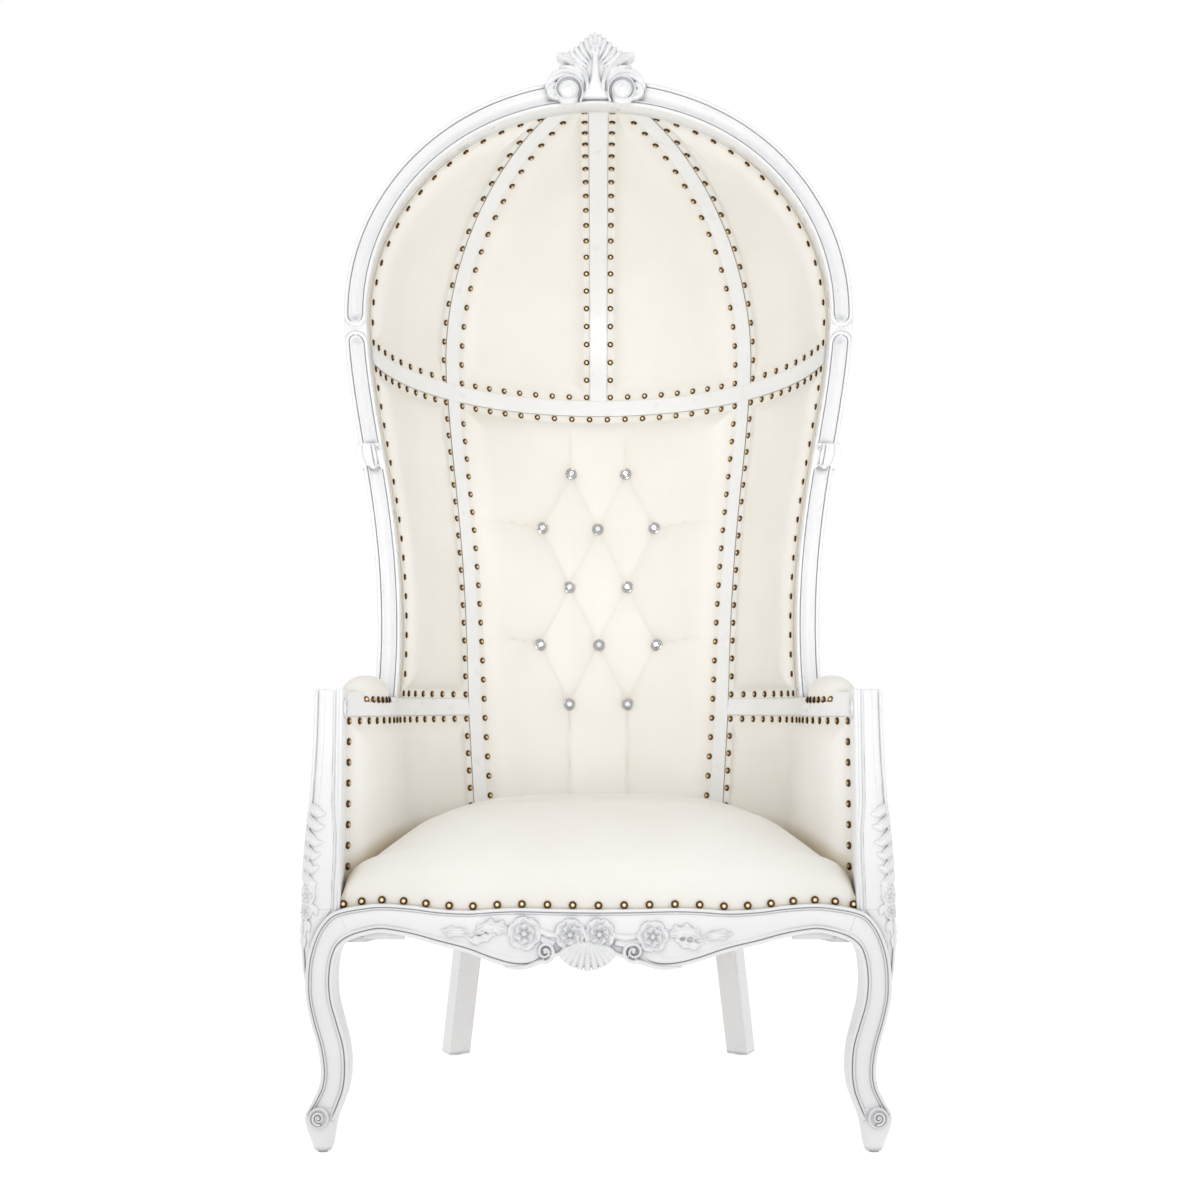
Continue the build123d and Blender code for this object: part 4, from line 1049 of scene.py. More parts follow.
def ribbon_rows():
    """Front and back grids of the right half of the rail and its leg."""
    stations = smooth_line(np.array(STATIONS), 330)
    front, back = [], []
    for ux, uz, lx, lz, face, rear in stations:
        width = sqrt((ux - lx) ** 2 + (uz - lz) ** 2)
        places = across_samples(width)
        low_share = np.clip((abs(ux) - 74.0) / 22.0, 0, 1)
        height = frame_moulding(places, width - places, low_share) * np.clip((uz - 56.0) / 12.0, 0, 1)
        share = places / width
        x, z = ux + (lx - ux) * share, uz + (lz - uz) * share
        front.append(np.stack([x, face + 3.2 - height, z], axis=1))
        behind = np.where((z > LIP_LEVEL) & (x < RAIL_END - 2), LIP_BACK, rear)
        back.append(np.stack([x, behind, z], axis=1))
    return np.array(front), np.array(back), stations


def make_rail_and_legs():
    """The shaped rail with its mouldings, and the cabriole front legs."""
    front, back, stations = ribbon_rows()
    seam = int(np.argmax(stations[:, 0] > RAIL_END))
    flip = np.array([-1.0, 1.0, 1.0])
    grids = []
    for grid in (front, back):
        half = grid[:seam + 1]
        whole = np.concatenate([half[:0:-1] * flip, half])
        share = np.linspace(0, 1, whole.shape[1])[None, :]
        whole[..., 0] = shifted(whole[..., 0], share)
        grids.append(whole)
    rail = Soup()
    rail.shell(*slab_between(*grids))
    bar = rail.piece("front_rail_moulding", "painted_wood")
    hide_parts("front_rail")
    leg = Soup()
    leg.shell(*slab_between(front[seam:], back[seam:]))
    add_foot(leg)
    leg.shell(*slab_between(*post_grids(LEG_CORE_FOOT, POST_FOOT, 60)))
    wooden_pair(leg, "front_leg", "carved")


# Height, then x and y from and to
FOOT_RINGS = (
    (66, 377, 423, -393, -350.5), (56, 379, 427.5, -394.8, -352), (47, 381.5, 429.5, -395.6, -353),
    (34, 384, 426.5, -394, -354), (22, 386, 422, -391, -355.5), (12, 387.5, 418.8, -387.5, -357),
    (6, 389.5, 416.5, -385, -358.5), (3.2, 391, 415, -384, -359.5))
PAD_RINGS = ((4, 395.5, 411.5, -381, -361), (0, 396, 411, -381, -361.5))
FOOT_SCROLL = (406.7, 53.0)
# Radius and y of the disc that carries the scroll
FOOT_SCROLL_RINGS = (
    (14, -372), (15, -380), (15.2, -397), (14.6, -400.2), (13.4, -401), (12, -400.2), (11, -398.6))


def rounded_ring(x0, x1, y0, y1, z):
    """A softened rectangle at a height."""
    turns = np.linspace(0, 2 * pi, 40, endpoint=False)
    c, s = np.cos(turns), np.sin(turns)
    x = (x0 + x1) / 2 + (x1 - x0) / 2 * (np.sign(c) * np.abs(c) ** (2 / 3.2))
    y = (y0 + y1) / 2 + (y1 - y0) / 2 * (np.sign(s) * np.abs(s) ** (2 / 3.2))
    return np.stack([x, y, np.full(40, z)], axis=1)


def spiral(centre, turns, radius):
    """Points round a centre, at angles and their radii."""
    return np.stack([centre[0] + radius * np.cos(turns), centre[1] + radius * np.sin(turns)], axis=1)


def add_foot(soup):
    """The tapered toe with a scroll on its front."""
    for table in (smooth_line(np.array(FOOT_RINGS), 26), PAD_RINGS):
        soup.shell(*lofted(np.array([rounded_ring(x0, x1, y0, y1, z) for z, x0, x1, y0, y1 in table])))
    turns = np.linspace(0, 2 * pi, 48, endpoint=False)
    disc = []
    for radius, y in FOOT_SCROLL_RINGS:
        x, z = spiral(FOOT_SCROLL, turns, radius).T
        disc.append(np.stack([x, np.full(48, y), z], axis=1))
    soup.shell(*lofted(np.array(disc)))
    line = spiral(FOOT_SCROLL, np.linspace(-0.6 * pi, 2.6 * pi, 70), np.linspace(9.6, 2.4, 70))
    tube(soup, on_front(-398.6), line, np.linspace(2.2, 1.5, 70), 1.3)
    dome(soup, on_front(-398.6), FOOT_SCROLL, 2.6, 3.4)


# The front posts

POST_OUTER = (
    (205, 424.5), (225, 429), (262, 435.2), (305, 438.5), (330, 438.2), (355, 437.6), (380, 437.4),
    (405, 436.8), (430, 435.6), (455, 433.8), (480, 431.2), (505, 428.4), (530, 426.2), (556, 424.4),
    (600, 422.6), (640, 421.6), (672, 421.2))
POST_INNER = ((205, 408), (262, 404), (300, 399), (330, 391), (352, 380), (700, 380))
POST_FACE = ((205, -384), (262, -396), (305, -398.5), (352, -397), (420, -395.5), (700, -395))
BEAD_FROM_INNER = ((352, 8.8), (388, 8.2), (421, 6.6), (463, 6.3), (505, 10), (556, 9.6), (700, 9))
CARVED_FROM, CARVED_TO = 300.0, 520.0
LEG_CORE_FOOT = 205.0
POST_FOOT = 352.0
POST_TOP = 672.0
POST_HEAD = 676.5
ROSETTE_PLACE = (-372.5, 648.0)


def level_value(table, z):
    """A table's value at a height."""
    return np.interp(z, [row[0] for row in table], [row[1] for row in table])


def post_profile(outer, inner, z):
    """Height of the post's face, from distances to its outer and inner edges."""
    middle = level_value(BEAD_FROM_INNER, z) - 2.2
    height = np.full(outer.shape, 1.2)
    height = np.maximum(height, bead(outer, 2.6, 2.8, 3.4))
    height = np.where((outer > 5.4) & (outer < 15.0), 0.4 + 0.08 * (outer - 5.4), height)
    height = height - 1.3 * np.exp(-((outer - 5.6) / 0.8) ** 2) - 0.7 * np.exp(-((outer - 15.0) / 0.8) ** 2)
    height = np.where((inner > middle + 2.4) & (inner < middle + 7.0),
                      1.2 - 3.4 * np.sin(pi * np.clip((inner - middle - 2.4) / 4.6, 0, 1)), height)
    height = np.maximum(height, bead(inner, middle, 2.4, 3.4))
    height = np.where(inner < middle - 2.4, np.clip(inner - 1.2, -1.2, 1.0), height)
    return height


def post_grids(low, high, rows, head=False):
    """Front and back grids of a run of the right post, bottom to top."""
    front, back = [], []
    for z in np.linspace(low, high, rows):
        outer_x, inner_x = level_value(POST_OUTER, z), level_value(POST_INNER, z)
        width = outer_x - inner_x
        places = np.linspace(0, 1, 62) * width
        height = post_profile(places, width - places, z)
        face = level_value(POST_FACE, z)
        ease = np.clip((z - CARVED_FROM) / 40.0, 0, 1) * np.clip((CARVED_TO + 20 - z) / 60.0, 0, 1)
        if z < CARVED_FROM + 40:
            ease = max(ease, np.clip((CARVED_FROM + 60 - z) / 60.0, 0, 1) * 0.8)
        cut_back = ease * 12.0 * np.clip(1 - places / 15.0, 0, 1) ** 1.3
        x = outer_x - places
        y = face + 3.0 - height + cut_back
        top = np.full(x.shape, z)
        if head:
            share = (z - low) / (high - low)
            corner = np.clip((x - 412.0) / 9.5, 0, 1)
            sag = 1.2 * np.sin(pi * np.clip((x - POST_SPACE) / 40.0, 0, 1))
            arc = POST_HEAD - 6.0 * (1 - np.sqrt(1 - corner ** 2)) - sag
            top = low + (arc - low) * share
            y = y + 2.5 * np.clip((share - 0.985) / 0.015, 0, 1) ** 2
        front.append(np.stack([x, y, top], axis=1))
        back.append(np.stack([x, np.full(x.shape, POST_BACK), top], axis=1))
    return np.array(front), np.array(back)


def make_front_posts():
    """The posts over the legs, with a rosette inside and carved leaves outside."""
    soup = Soup()
    soup.shell(*slab_between(*post_grids(POST_FOOT, POST_TOP, 150, True)))
    turns = np.linspace(0, 2 * pi, 40, endpoint=False)
    for inner, outer, lift in ((11.0, 14.5, 3.8), (6.4, 8.0, 2.6)):
        line = spiral((0.0, 0.0), np.append(turns, turns[:2]), (inner + outer) / 2)
        wide = (outer - inner) / 2 + 0.4
        tube(soup, on_post_side, line, np.full(len(line), wide), lift / wide)
    dome(soup, on_post_side, (0.0, 0.0), 15.0, 1.8)
    dome(soup, on_post_side, (0.0, 0.0), 4.0, 4.2)
    wooden_pair(soup, "arm_post", "moulded")
    leaves = Soup()
    carve_post(leaves)
    for hand, half in both_hands(leaves):
        fused(f"arm_post_{hand}_leaves", half, "painted_wood", CARVING_VOXEL)


def on_post_side(u, v, out):
    """Places the rosette's across, up and out on the post's inner side."""
    return np.stack([POST_SPACE - out, ROSETTE_PLACE[0] + u, ROSETTE_PLACE[1] + v], axis=-1)


def post_skin(u, v):
    """The depth of the post's carved corner at a place in the front view."""
    outer = level_value(POST_OUTER, v) - u
    face = level_value(POST_FACE, v) + 1.8
    return face + 12.0 * np.clip(1 - outer / 15.0, 0, 1.4) ** 1.3


def on_post(u, v, out):
    """Places a carving's across, up and out on the post's rounded corner."""
    limit = level_value(POST_OUTER, v) + 1.5
    return np.stack([np.minimum(u + 0.25 * out, limit), post_skin(u, v) - 0.97 * out, v], axis=-1)


# Leaf forms: half widths and rises along the leaf, then lobes, cut, vein, ribs, floor and rows as in leaf()
BLADE = ((2, 6.5, 8, 7, 1.5), (2, 5.2, 6.4, 5.2, 1.4), 0, 0.3, 2.2, 2)
SPRIG = ((1.5, 5, 4.5, 1), (1.5, 3.6, 3, 0.8), 0, 0.3, 1)
RIBBON = ((1.5, 3.6, 3.8, 3.2, 1), (1.5, 3.4, 3.6, 3, 0.8), 0, 0.3, 0.8)
POST_BLADES = (
    ((431, 512), (424, 501), (412, 493), (402, 491)),
    ((435.5, 497), (428, 483), (415, 473), (403.5, 474)),
    ((437.5, 476), (431, 462), (419, 451), (406, 450)),
    ((439, 455), (433, 441), (421, 431), (409.5, 434)),
    ((440, 436), (434.5, 422), (423, 411), (411, 415)),
    ((440.5, 416), (436, 404), (426, 393), (414, 390)))
POST_SPRIGS = (
    ((428, 395), (421, 386), (417, 375)), ((424, 360), (416, 352), (413, 343)),
    ((432, 338), (426, 329), (424, 319)))
POST_RIBBONS = (
    ((434, 335), (431, 322), (436.5, 308), (438, 297)),
    ((438.5, 330), (436.5, 318), (431.5, 306), (436, 290)))


def carve_post(soup):
    """Stacked leaves, a flower and a ribbon leaf down the post's outer corner."""
    for spine in POST_BLADES:
        leaf(soup, on_post, spine, *BLADE)
    flower(soup, on_post, (430.0, 372.0), 14.5, 5, 6.0, 0.4)
    flower(soup, on_post, (431.5, 349.0), 12.0, 5, 6.0, 1.1)
    for spine in POST_SPRIGS:
        leaf(soup, on_post, spine, *SPRIG)
    for spine in POST_RIBBONS:
        leaf(soup, on_post, spine, *RIBBON)


# Carved leaves, flowers and scrolls

def on_front(face):
    """Places a carving's across, up and out on the front, at a depth."""
    def place(u, v, out):
        return np.stack([u, face - out + 0 * u, v], axis=-1)
    return place


def sideways(line):
    """The directions across a flat line, to its left."""
    run = np.gradient(line, axis=0)
    run = run / np.maximum(np.linalg.norm(run, axis=1), 1e-9)[:, None]
    return np.stack([-run[:, 1], run[:, 0]], axis=1)


def leaf(soup, place, spine, widths, rises, lobes=0, cut=0.3, vein=1.2, ribs=0, floor=-3.0, rows=44):
    """A carved leaf along a line: scalloped margins, a sunk vein and side ribs."""
    line = smooth_line(spine, rows)
    side = sideways(line)
    along = np.linspace(0, 1, rows)
    wide = np.interp(along, np.linspace(0, 1, len(widths)), widths)
    lift = np.interp(along, np.linspace(0, 1, len(rises)), rises)
    u = np.linspace(-1, 1, 19)
    far = np.abs(u)
    phase = along[:, None] * lobes + 0.45 * far[None, :]
    wave = 0.5 + 0.5 * np.cos(2 * pi * phase)
    reach = 1 - (cut * far ** 3 * wave if lobes else 0)
    flat = line[:, None, :] + side[:, None, :] * (wide[:, None] * u * reach)[..., None]
    height = lift[:, None] * np.sqrt(np.clip(1 - (0.97 * far) ** 2.6, 0, 1))[None, :]
    fade = np.sin(pi * np.clip(along * 1.1, 0, 1))
    height = height - vein * np.exp(-(u / 0.14) ** 2)[None, :] * fade[:, None]
    if lobes:
        height = height - 0.8 * vein * wave * np.clip(far * 2, 0, 1)
    if ribs:
        height = height - 0.9 * vein * (0.5 - 0.5 * np.cos(2 * pi * ribs * u))[None, :]
    front = place(flat[..., 0], flat[..., 1], height)
    back = place(flat[..., 0], flat[..., 1], np.full(height.shape, floor))
    soup.shell(*slab_between(front, back))


def tube(soup, place, line, radii, rise):
    """A round band along a flat line."""
    side = sideways(np.asarray(line))
    turns = np.linspace(0, 2 * pi, 12, endpoint=False)
    offset = radii[:, None] * np.cos(turns)
    flat = np.asarray(line)[:, None, :] + side[:, None, :] * offset[..., None]
    soup.shell(*lofted(place(flat[..., 0], flat[..., 1], rise * radii[:, None] * np.sin(turns))))


def dome(soup, place, centre, radius, rise, floor=-3.0):
    """A round boss."""
    turns = np.linspace(0, 2 * pi, 28, endpoint=False)
    rings = []
    upper = [(share, rise * sqrt(1 - share ** 2)) for share in (1.0, 0.93, 0.8, 0.6, 0.35, 0.12)]
    for wide, lift in [(1.0, floor)] + upper:
        x, z = spiral(centre, turns, radius * wide).T
        rings.append(place(x, z, np.full(28, lift)))
    soup.shell(*lofted(np.array(rings)))


def flower(soup, place, centre, radius, petals=5, rise=6.0, turn=0.0):
    """An open flower: two rings of cupped petals round a small bead."""
    for layer, (reach, lift) in enumerate(((1.0, 0.62), (0.62, 1.0))):
        for i in range(petals):
            angle = turn + 2 * pi * (i + 0.5 * layer) / petals
            t = np.linspace(0.04, 1.0, 16)
            u = np.linspace(-1, 1, 13)
            half = 0.66 * np.sqrt(np.clip(1 - ((t - 0.56) / 0.47) ** 2, 0.0, 1))
            notch = 1 - 0.10 * np.exp(-(u / 0.25) ** 2)[None, :] * (t ** 3)[:, None]
            along = radius * reach * t[:, None] * notch + 0 * u[None, :]
            across = radius * reach * half[:, None] * u[None, :]
            cup = 0.16 + 0.66 * t[:, None] ** 2 + 0.24 * u[None, :] ** 2 + 0.24 * u[None, :]
            crease = 0.14 * np.cos(3 * pi * u)[None, :] * np.clip(t * 1.6 - 0.4, 0, 1)[:, None]
            height = rise * lift * (cup + crease)
            height = height * np.clip((1.02 - t[:, None]) * 9, 0.25, 1)
            x = centre[0] + along * cos(angle) - across * sin(angle)
            z = centre[1] + along * sin(angle) + across * cos(angle)
            soup.shell(*slab_between(place(x, z, height), place(x, z, height * 0.5 - 2.6)))
    dome(soup, place, centre, radius * 0.2, rise * 1.15)


def fused(name, soup, slot, voxel):
    """Shells that overlap, melted into one smooth carved form."""
    mesh = bpy.data.meshes.new(name + "_parts")
    mesh.from_pydata((np.concatenate(soup.points) * MM).tolist(), [], soup.faces)
    mesh.validate()
    rough = bpy.data.objects.new(name + "_parts", mesh)
    bpy.context.scene.collection.objects.link(rough)
    remesh = rough.modifiers.new("remesh", "REMESH")
    remesh.mode = "VOXEL"
    remesh.voxel_size = voxel
    remesh.use_smooth_shade = True
    ease = rough.modifiers.new("smooth", "SMOOTH")
    ease.factor = 0.5
    ease.iterations = 1
    graph = bpy.context.evaluated_depsgraph_get()
    solid = bpy.data.meshes.new_from_object(rough.evaluated_get(graph))
    bpy.data.objects.remove(rough)
    bpy.data.meshes.remove(mesh)
    solid.name = name
    solid.materials.clear()
    solid.materials.append(FINISH[slot])
    piece = bpy.data.objects.new(name, solid)
    bpy.context.scene.collection.objects.link(piece)
    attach(piece, "root")
    return piece


GARLAND_FACE = -389.6


def on_rail(u, v, out):
    """Places a carving's across, up and out on the front rail."""
    return np.stack([u, GARLAND_FACE - 1.25 * out, v], axis=-1)


# The garland's leaf forms, in the same order
BROAD = ((5, 12, 13, 10, 1.5), (3, 6.6, 6.6, 5, 1.4), 4.2, 0.45, 2.4, 2, -3, 70)
NARROW = ((3, 7, 7.5, 1.5), (2, 4.6, 4.2, 1), 3.2, 0.4, 1.4)
LAST = ((4, 10.5, 8.5, 1), (3, 6.2, 5.8, 1.4), 1.6, 0.35, 2.4, 2)
BAND = ((4, 5, 4), (2, 3.4, 2), 0, 0.3, 0.8, 2)
GARLAND_LEAVES = (
    (BAND, ((-88, 322), (-74, 316), (-60, 314))), (BAND, ((-88, 311), (-76, 305), (-64, 303))),
    (BAND, ((22, 314), (40, 311), (58, 313))), (BAND, ((24, 303), (42, 301), (60, 304))),
    (BROAD, ((-128, 319), (-145, 325), (-165, 326), (-178, 320), (-190, 318))),
    (NARROW, ((-150, 318), (-166, 311), (-184, 307), (-196, 312))),
    (LAST, ((-190, 318), (-206, 319), (-220, 320), (-233, 322.5))),
    (BROAD, ((100, 314), (116, 318), (134, 319), (150, 312), (158, 308))),
    (NARROW, ((112, 309), (126, 302), (142, 299.5), (156, 303.5))),
    (LAST, ((154, 310), (168, 313.5), (184, 315), (200, 316.5))))
# Centre, radius, petals, rise and turn
GARLAND_FLOWERS = (((-108.9, 317.2), 24.5, 6, 7.5, 0.3), ((-41.4, 315.4), 23.0, 5, 8.0, 0.9),
                   ((1.5, 316.0), 23.0, 5, 8.0, 0.2), ((79.8, 312.5), 23.0, 6, 7.5, 0.6))
SHELL_RIB = ((3, 4.4, 5.6, 4.4), (2, 6, 8, 3.6))
SHELL_RIM = ((8, 295), (24, 292), (40, 288), (55, 283))
LIP_SCROLL = (65.0, 290.5)
LIP_LEAD = ((130, 268.8), (118, 267.8), (105, 267.5), (92, 269.6), (80, 273.6), (71, 276.6))


def make_garland():
    """Flowers, leaves and bands across the rail, over a ribbed shell."""
    soup = Soup()
    for bloom in GARLAND_FLOWERS:
        flower(soup, on_rail, *bloom)
    for form, spine in GARLAND_LEAVES:
        leaf(soup, on_rail, spine, *form)
    shell_middle = float(shifted(0.0))
    for step in np.linspace(-1, 1, 11):
        turn = step * radians(62)
        far = 37.0 - 7.0 * abs(step)
        foot = (shell_middle + 13.0 * step, 304.0)
        tip = (shell_middle + 1.55 * far * np.sin(turn), 300.0 - far * np.cos(turn) * 1.02)
        middle = ((foot[0] + tip[0]) / 2 + 2.0 * step, (foot[1] + tip[1]) / 2)
        leaf(soup, on_rail, (foot, middle, tip), *SHELL_RIB, vein=-0.8, rows=30)
    for side in (-1, 1):
        rim = [(shell_middle + side * x, z) for x, z in SHELL_RIM]
        tube(soup, on_rail, smooth_line(rim, 30), np.full(30, 3.2), 1.4)
    for side in (-1, 1):
        wound = spiral(LIP_SCROLL, np.linspace(-0.5 * pi, -3.8 * pi, 80), np.linspace(14.5, 3.2, 80))
        line = smooth_line(np.concatenate([LIP_LEAD, wound]), 150)
        line[:, 0] = shifted(line[:, 0] * side)
        thick = np.interp(np.linspace(0, 1, 150), [0, 0.12, 0.3, 1], [1.6, 3.4, 3.8, 2.2])
        tube(soup, on_rail, line, thick, 1.6)
        dome(soup, on_rail, (float(shifted(side * LIP_SCROLL[0])), LIP_SCROLL[1]), 3.4, 5.0)
    piece = fused("apron_garland_carving", soup, "painted_wood", GARLAND_VOXEL)
    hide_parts("apron_garland")


CREST_FACE = -150.0
CREST_SCALE = (0.141, 0.1452)
CREST_MIDDLE = -5.2
CREST_TOP = 1792.2


def on_crest(u, v, out):
    """Places the crest's drawing: across from its middle, down from its top, and out in millimetres."""
    x, z = CREST_MIDDLE + u * CREST_SCALE[0], CREST_TOP - v * CREST_SCALE[1]
    return np.stack([x, CREST_FACE - out + 0 * u, z], axis=-1)


# The stem's parts: downward places, half widths, rises, vein, floor and rows
CREST_STEM = (
    ((760, 400, 30), (150, 190, 170, 170, 220, 270, 190, 60), (1, 2, 3, 3, 2.5, 1), 0, -24, 40),
    ((770, 720, 655), (168, 160, 128, 60), (3, 5, 6.5, 3), -0.6, -26, 30),
    ((765, 600, 450, 300, 190), (118, 92, 74, 54, 44, 38, 42, 50),
     (4, 7, 9, 9.6, 9.8, 10, 10, 9), -0.8, -26, 60),
    ((330, 230, 130), (26, 46, 66, 52, 12), (9.5, 11.2, 11.6, 10.5, 7), 3.4, -20, 40))
# The plume's lobes: three places and a half width
CREST_LOBES = (
    ((0, 260), (0, 120), (0, 0), 34), ((20, 260), (44, 140), (60, 20), 36),
    ((40, 300), (90, 190), (118, 62), 36), ((58, 340), (140, 240), (180, 112), 37),
    ((76, 385), (180, 290), (250, 168), 37), ((90, 430), (210, 335), (312, 216), 32))
LOBE_RISES = (4, 7, 8.6, 9, 8.6, 7.4, 3)
# The leaves beside the stem: their places, then their forms
CREST_LEAVES = (
    (((112, 740), (98, 610), (138, 470), (236, 358), (350, 290), (468, 252)),
     (12, 26, 44, 56, 64, 62, 26), (3, 8.5, 10, 9.6, 8.6, 7.4, 4), 1.6, 0.18, 3, 3, -24, 80),
    (((140, 690), (160, 560), (236, 450), (350, 408), (436, 404)), (8, 22, 32, 36, 34, 14),
     (2, 5.6, 6.6, 6.4, 5.6, 3), 2, 0.25, 2.4, 2, -24, 60),
    (((165, 660), (210, 545), (320, 492), (450, 500), (540, 570), (604, 662)),
     (10, 34, 56, 64, 60, 40, 8), (2, 5.6, 7, 7, 5.6, 4.4, 2), 0, 0.2, 2.6, 4, -24, 80),
    (((470, 600), (530, 650), (520, 720), (440, 785)), (20, 46, 52, 40, 10),
     (3, 4.6, 4.6, 3.6, 1.5), 0, 0.2, 2, 2, -24, 50))
CREST_FLOOR = -24.0
# The scrolls' middle, across and down, then their winding in degrees and its radius there
CREST_SCROLL_ACROSS, CREST_SCROLL_DOWN = 328.0, 692.0
CREST_SCROLL_TURNS = (-40, 0, 90, 180, 270, 360, 450, 540, 610)
CREST_SCROLL_REACH = (192, 172, 158, 150, 116, 124, 104, 106, 102)


def to_side(points, side):
    """A crest drawing's points, on its left (-1) or its right (1)."""
    return [(side * x, z) for x, z in points]


def make_crest():
    """The carved crest: a stem, a plume, swept leaves and two scrolls."""
    soup = Soup()
    for levels, widths, rises, vein, floor, rows in CREST_STEM:
        spine = [(0.0, z) for z in levels]
        leaf(soup, on_crest, spine, widths, rises, vein=vein, floor=floor, rows=rows)
    for z, radius in ((152.0, 15.0), (262.0, 9.0), (306.0, 10.0)):
        dome(soup, on_crest, (0.0, z), radius, 12.0)
    for *spine, wide in CREST_LOBES:
        widths = (10.0, wide * 0.6, wide * 0.85, wide, wide, wide * 0.9, 16.0)
        for side in ((1,) if spine[2][0] == 0 else (-1, 1)):
            leaf(soup, on_crest, to_side(spine, side), widths, LOBE_RISES, vein=-1.2, floor=CREST_FLOOR,
                 rows=50)
    for side in (1, -1):
        for spine, *form in CREST_LEAVES:
            leaf(soup, on_crest, to_side(spine, side), *form)
        turns = np.linspace(CREST_SCROLL_TURNS[0], CREST_SCROLL_TURNS[-1], 130)
        radius = np.interp(turns, CREST_SCROLL_TURNS, CREST_SCROLL_REACH)
        line = spiral((-CREST_SCROLL_ACROSS, CREST_SCROLL_DOWN), -np.radians(turns), radius) * (-side, 1.0)
        tube(soup, on_crest, line, np.linspace(15.0, 11.0, 130), 0.62)
        across = -side * CREST_SCROLL_ACROSS
        dome(soup, on_crest, (across, CREST_SCROLL_DOWN - 2.0), 158.0, 6.0, CREST_FLOOR)
        dome(soup, on_crest, (across, CREST_SCROLL_DOWN), 80.0, 8.5, CREST_FLOOR)
    piece = fused("crest_carving", soup, "painted_wood", CARVING_VOXEL)
    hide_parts("crest")


# Arm pads, seat nails and collars

PAD_FRONT, PAD_BACK = -302.0, -164.0
PAD_WIDTH, PAD_RISE = 50.0, 42.0
PAD_SHIFT = 9.0
PAD_NAIL_GAP = 18.0


def pad_section(v, least=0.0):
    """The pad's middle x, its y and its half width at a share of its length, -1 to 1."""
    y = (PAD_FRONT + PAD_BACK) / 2 + v * (PAD_BACK - PAD_FRONT) / 2
    middle = arm_arc(dict(WIDTH_LEVELS)[ARM_LEVEL], POST_SPACE, y)[0] + WALL / 2 + PAD_SHIFT
    return middle, y, PAD_WIDTH / 2 * max(1 - abs(v) ** 3.4, least) ** 0.42


def make_arm_pads():
    """Plump leather pads on the arms, nailed round the foot."""
    soup, nails = Soup(), Soup()
    rings = []
    for t in np.linspace(0.0, 1.0, 46):
        v = -cos(pi * t)
        middle, y, wide = pad_section(v, 0.004)
        rise = PAD_RISE * max(1 - abs(v) ** 3.0, 0.01) ** 0.5
        ring = []
        for a in np.linspace(0, pi, 26):
            bulge = 1 + 0.06 * sin(2 * min(a, pi - a))
            ring.append((middle + wide * bulge * cos(a), y, ARM_DIP + 0.2 + rise * sin(a) ** 0.85))
        rings.append(ring)
    soup.shell(*lofted(np.array(rings)))
    outline = []
    for a in np.linspace(0, 2 * pi, 240):
        middle, y, wide = pad_section(sin(a))
        outline.append((middle + wide * np.sign(cos(a)), y, ARM_DIP + 3.5))
    outline = np.array(outline)
    along = lengths_along(outline)
    count = round(along[-1] / PAD_NAIL_GAP)
    centre = outline.mean(axis=0)
    for i in range(count):
        spot = np.array([np.interp(along[-1] * i / count, along, outline[:, k]) for k in range(3)])
        normal = spot - centre
        normal[1] *= 0.25 if abs(normal[1]) < 55 else 1.0
        normal[2] = 4.0
        put_nail(nails, spot + normal / np.linalg.norm(normal) * 0.6, normal)
    for hand, cover, studs in both_hands(soup, nails):
        leather_piece(cover, f"arm_pad_{hand}_leather", f"arm_pad_{hand}", fill=0.85)
        studs.piece(f"arm_pad_{hand}_nails", "steel", BRASS)


SEAT_NAIL_FACE = -387.6
SEAT_NAIL_RISE = 5.2
# How far each of the seat's nails is from the middle
SEAT_NAILS = (0, 37.9, 75.2, 112.8, 149.2, 185, 220, 254.3, 287.2, 319.2, 349, 376)


def make_seat_nails():
    """The row of nails along the seat's front edge."""
    soup = Soup()
    upper = np.array([(row[0], row[1]) for row in STATIONS])
    for x in [-x for x in SEAT_NAILS[:0:-1]] + list(SEAT_NAILS):
        z = np.interp(abs(x), upper[:12, 0], upper[:12, 1]) + SEAT_NAIL_RISE
        put_nail(soup, np.array([x, SEAT_NAIL_FACE, z]), np.array([0.0, -1.0, 0.12]))
    soup.piece("seat_nails", "steel", BRASS)


COLLAR_FOOT = 1046.0
COLLAR_LENGTH = 44.0


